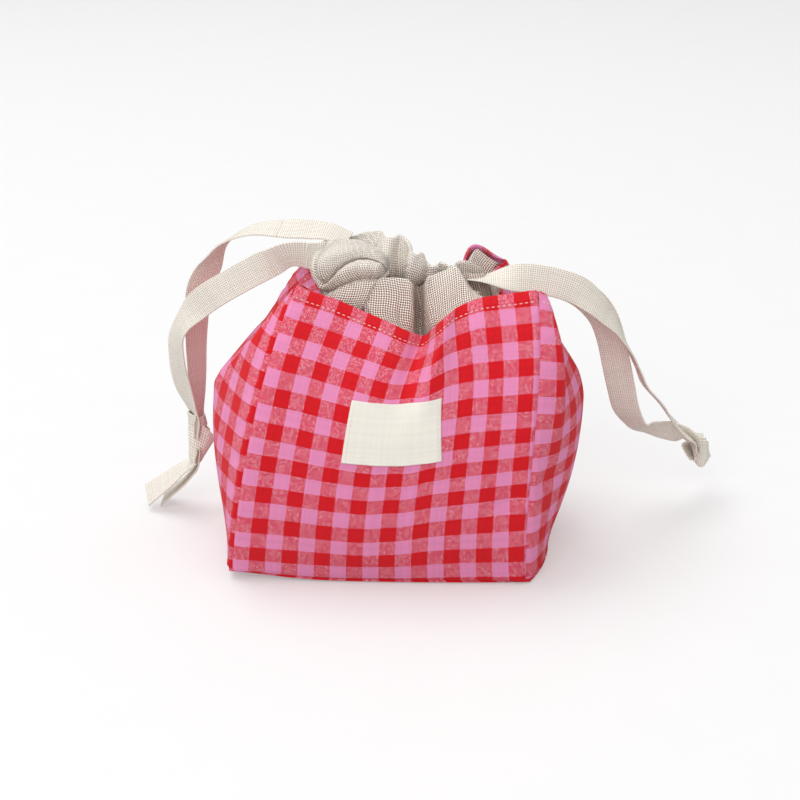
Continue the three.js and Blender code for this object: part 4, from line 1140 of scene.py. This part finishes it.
def use_group(tree, group, cloth, **numbers):
    """A node group in a material, with its cloth coordinates linked and its numbers set."""
    node = tree.nodes.new("ShaderNodeGroup")
    node.node_tree = group
    tree.links.new(cloth, node.inputs["Cloth"])
    for name, value in numbers.items():
        node.inputs[name].default_value = value
    return node


def mix_colours(tree, factor, first, second, blend="MIX"):
    """A colour mix; the factor and either colour may be another node's output."""
    node = tree.nodes.new("ShaderNodeMix")
    node.data_type = "RGBA"
    node.blend_type = blend
    sockets = [socket for socket in node.inputs if socket.enabled]
    for socket, value in zip(sockets, (factor, first, second)):
        if isinstance(value, bpy.types.NodeSocket):
            tree.links.new(value, socket)
        elif isinstance(value, float):
            socket.default_value = value
        else:
            socket.default_value = (*value, 1.0)
    return [socket for socket in node.outputs if socket.enabled][0]


def between(tree, value, low, high):
    """A value from 0 to 1 moved to lie between two numbers."""
    return calc(tree, "MULTIPLY_ADD", value, high - low, low)


def grey(tree, value):
    """A grey colour from a value."""
    node = tree.nodes.new("ShaderNodeCombineColor")
    for socket in node.inputs:
        tree.links.new(value, socket)
    return node.outputs[0]


def finish_cloth(tree, shader, colour, tone, height, depth, strength):
    """Colour times tone into the shader, and threads that stand up by a depth in metres."""
    tree.links.new(mix_colours(tree, 1.0, colour, grey(tree, tone), "MULTIPLY"), shader.inputs["Base Color"])
    bump = tree.nodes.new("ShaderNodeBump")
    bump.inputs["Strength"].default_value = strength
    bump.inputs["Distance"].default_value = depth
    tree.links.new(height, bump.inputs["Height"])
    tree.links.new(bump.outputs["Normal"], shader.inputs["Normal"])


# %% Gingham
RED_DYE = (0.73, 0.006, 0.014)
PINK_DYE = (0.88, 0.29, 0.53)
WORN_DYE = (0.92, 0.62, 0.68)
CHECK = 10
# Share by which the mixed checks pull their pink threads toward red: painted shade between the crossing
# threads
MIXED_CHECK_SHADE = 0.55
WEAR = 0.5
gingham, tree, shader, cloth = new_material("gingham_cloth", roughness=0.85, sheen=0.06)
threads = use_group(tree, weave, cloth, Pitch=0.7 * MM)
pattern = use_group(tree, checks, cloth, Check=CHECK * MM)
tree.links.new(threads.outputs["Warp on top"], pattern.inputs["Warp on top"])
# Painted shade: in mixed checks the pink threads are pulled toward red, standing for shade between crossing
# threads
painted_mixed_shade = calc(tree, "MULTIPLY", pattern.outputs["Mixed"], MIXED_CHECK_SHADE)
dye = mix_colours(tree, calc(tree, "MAXIMUM", pattern.outputs["Dark thread"], painted_mixed_shade), PINK_DYE, RED_DYE)
worn = calc(tree, "MULTIPLY", pattern.outputs["Mixed"], calc(tree, "POWER", threads.outputs["Fleck"], 3.0))
dye = mix_colours(tree, calc(tree, "MULTIPLY", worn, WEAR), dye, WORN_DYE)
tint = use_group(tree, slubs, cloth, Size=1.6 * MM)
slubby = between(tree, tint.outputs["Tint"], 0.85, 1.15)
tone = calc(tree, "MULTIPLY", slubby, between(tree, threads.outputs["Shade"], 0.9, 1.05))
finish_cloth(tree, shader, dye, tone, threads.outputs["Height"], depth=0.15 * MM, strength=0.6)
print("gingham:", len(tree.nodes), "nodes")


# %% Canvas, tape, label and thread
# Painted shade: below the first height the canvas's dark gaps are widened to darken it, easing back by the
# second
SHADE_FULL_BELOW, SHADE_GONE_ABOVE = 157, 185


def collar_rise(tree):
    """A value from 0 low in the collar to 1 at its casings, which fades out the canvas's painted shade."""
    place = tree.nodes.new("ShaderNodeSeparateXYZ")
    tree.links.new(tree.nodes.new("ShaderNodeTexCoord").outputs["Object"], place.inputs[0])
    above = calc(tree, "SUBTRACT", place.outputs["Z"], SHADE_FULL_BELOW * MM)
    rise = calc(tree, "MULTIPLY", above, 1 / ((SHADE_GONE_ABOVE - SHADE_FULL_BELOW) * MM))
    return calc(tree, "MINIMUM", calc(tree, "MAXIMUM", rise, 0.0), 1.0)


def plain_cloth(name, light, dark, pitch, slub, depth, strength, gaps_and_shade_low, gaps_and_shade_high):
    """A plain woven cloth: light threads, slubs, and dark gaps, which may be widened low down as painted
    shade.
    """
    material, tree, shader, cloth = new_material(name, roughness=0.88, sheen=0.08)
    threads = use_group(tree, weave, cloth, Pitch=pitch * MM)
    tint = use_group(tree, slubs, cloth, Size=slub * MM)
    width = gaps_and_shade_high
    # Where the two widths differ, the wider gaps low down are painted shade
    if gaps_and_shade_low != gaps_and_shade_high:
        width = between(tree, collar_rise(tree), gaps_and_shade_low, gaps_and_shade_high)
    gap = calc(tree, "MINIMUM", calc(tree, "MULTIPLY", threads.outputs["Gap"], width), 1.0)
    slubby = between(tree, tint.outputs["Tint"], 0.92, 1.08)
    tone = calc(tree, "MULTIPLY", slubby, between(tree, threads.outputs["Shade"], 0.94, 1.03))
    colour = mix_colours(tree, gap, light, dark)
    finish_cloth(tree, shader, colour, tone, threads.outputs["Height"], depth * MM, strength)
    return material


NATURAL = (0.99, 0.95, 0.86)
NATURAL_TAPE = (0.99, 0.94, 0.85)
# The canvas's gap colour is partly its real dark between threads and partly a painted pink reflection from
# the gingham
CANVAS_GAPS_AND_PINK_BOUNCE = (0.28, 0.09, 0.06)
TAPE_GAPS = (0.48, 0.39, 0.30)
LABEL_GAPS = (0.82, 0.75, 0.65)
canvas = plain_cloth(
    "canvas_cloth", NATURAL, CANVAS_GAPS_AND_PINK_BOUNCE,
    pitch=1.5, slub=2.5, depth=0.4, strength=0.8, gaps_and_shade_low=11.0, gaps_and_shade_high=1.2,
)
tape = plain_cloth(
    "tape_cotton", NATURAL_TAPE, TAPE_GAPS,
    pitch=RIB_PITCH, slub=3.0, depth=0.25, strength=0.7, gaps_and_shade_low=1.7, gaps_and_shade_high=1.7,
)
label_cotton = plain_cloth(
    "label_cotton", NATURAL, LABEL_GAPS,
    pitch=0.55, slub=4.0, depth=0.12, strength=0.6, gaps_and_shade_low=1.8, gaps_and_shade_high=1.8,
)

THREAD_SHADE = (0.74, 0.64, 0.60)
THREAD_WHITE = (0.95, 0.90, 0.86)
thread_cotton, tree, shader, cloth = new_material("white_thread", roughness=0.7, sheen=0.1)
tint = use_group(tree, slubs, cloth, Size=0.6 * MM)
twist = mix_colours(tree, tint.outputs["Tint"], THREAD_SHADE, THREAD_WHITE)
tone = between(tree, tint.outputs["Tint"], 0.95, 1.05)
finish_cloth(tree, shader, twist, tone, tint.outputs["Tint"], depth=0.1 * MM, strength=0.5)
print("thread:", len(tree.nodes), "nodes")


# %% Give every piece its cloth
def dress(pieces, material):
    """Puts one material on pieces."""
    for piece in pieces:
        piece.data.materials.append(material)


dress([*panels.values(), gingham_base], gingham)
dress([*linings.values(), canvas_base, *collar_pieces.values()], canvas)
for pieces in [*tapes.values(), *knot_pieces.values()]:
    dress(pieces, tape)
dress([label], label_cotton)
dress([*stitches.values(), *label_stitches], thread_cotton)
print("materials:", [material.name for material in (gingham, canvas, tape, label_cotton, thread_cotton)])

# %% [markdown]
# ## Floor and light
# The photograph's table is near white and has no edge in view, and its light is broad and soft: a large
# window above and a little behind the bag on the left, a paler one in front, and white walls all round. A sun
# lamp would draw hard shadows, so both windows are area lamps. The table also glows a little, but only where
# the camera sees it. That keeps it white without throwing more light up at the bag, whose undersides stay
# shaded.

# %% Set the table
TABLE_TONE = (0.62, 0.64)
TABLE_GLOW = 0.29
bpy.ops.mesh.primitive_plane_add(size=12)
floor = bpy.context.object
floor.name = "table"
table, tree, shader, _ = new_material("table_top", roughness=0.6, sheen=0.0)
speck = tree.nodes.new("ShaderNodeTexNoise")
speck.inputs["Scale"].default_value = 300.0
tree.links.new(grey(tree, between(tree, speck.outputs[0], *TABLE_TONE)), shader.inputs["Base Color"])
shader.inputs["Emission Color"].default_value = (1.0, 1.0, 1.0, 1.0)
seen = tree.nodes.new("ShaderNodeLightPath").outputs["Is Camera Ray"]
tree.links.new(calc(tree, "MULTIPLY", seen, TABLE_GLOW), shader.inputs["Emission Strength"])
floor.data.materials.append(table)
print("table:", round(floor.dimensions.x), "m across")


# %% Light the room
LAMPS_LOOK_AT = Vector((0, 0, 0.1))
ROOM_LIGHT = 0.6


def add_window(name, place, size, energy):
    """A large soft area lamp that looks at the bag."""
    data = bpy.data.lights.new(name, "AREA")
    data.shape = "RECTANGLE"
    data.size, data.size_y = size
    data.energy = energy
    lamp = bpy.data.objects.new(name, data)
    lamp.location = place
    lamp.rotation_euler = (LAMPS_LOOK_AT - lamp.location).to_track_quat("-Z", "Y").to_euler()
    bpy.context.collection.objects.link(lamp)


world = bpy.data.worlds.new("white room")
world.use_nodes = True
background = world.node_tree.nodes["Background"]
background.inputs["Color"].default_value = (1.0, 1.0, 1.0, 1.0)
background.inputs["Strength"].default_value = ROOM_LIGHT
bpy.context.scene.world = world
add_window("window", place=(-1.2, 0.7, 3.6), size=(3.2, 2.4), energy=64.0)
add_window("front_window", place=(-0.8, -3.2, 2.6), size=(3.0, 2.4), energy=54.0)
bpy.context.scene.view_settings.view_transform = "Standard"
print("lamps:", len(bpy.data.lights))
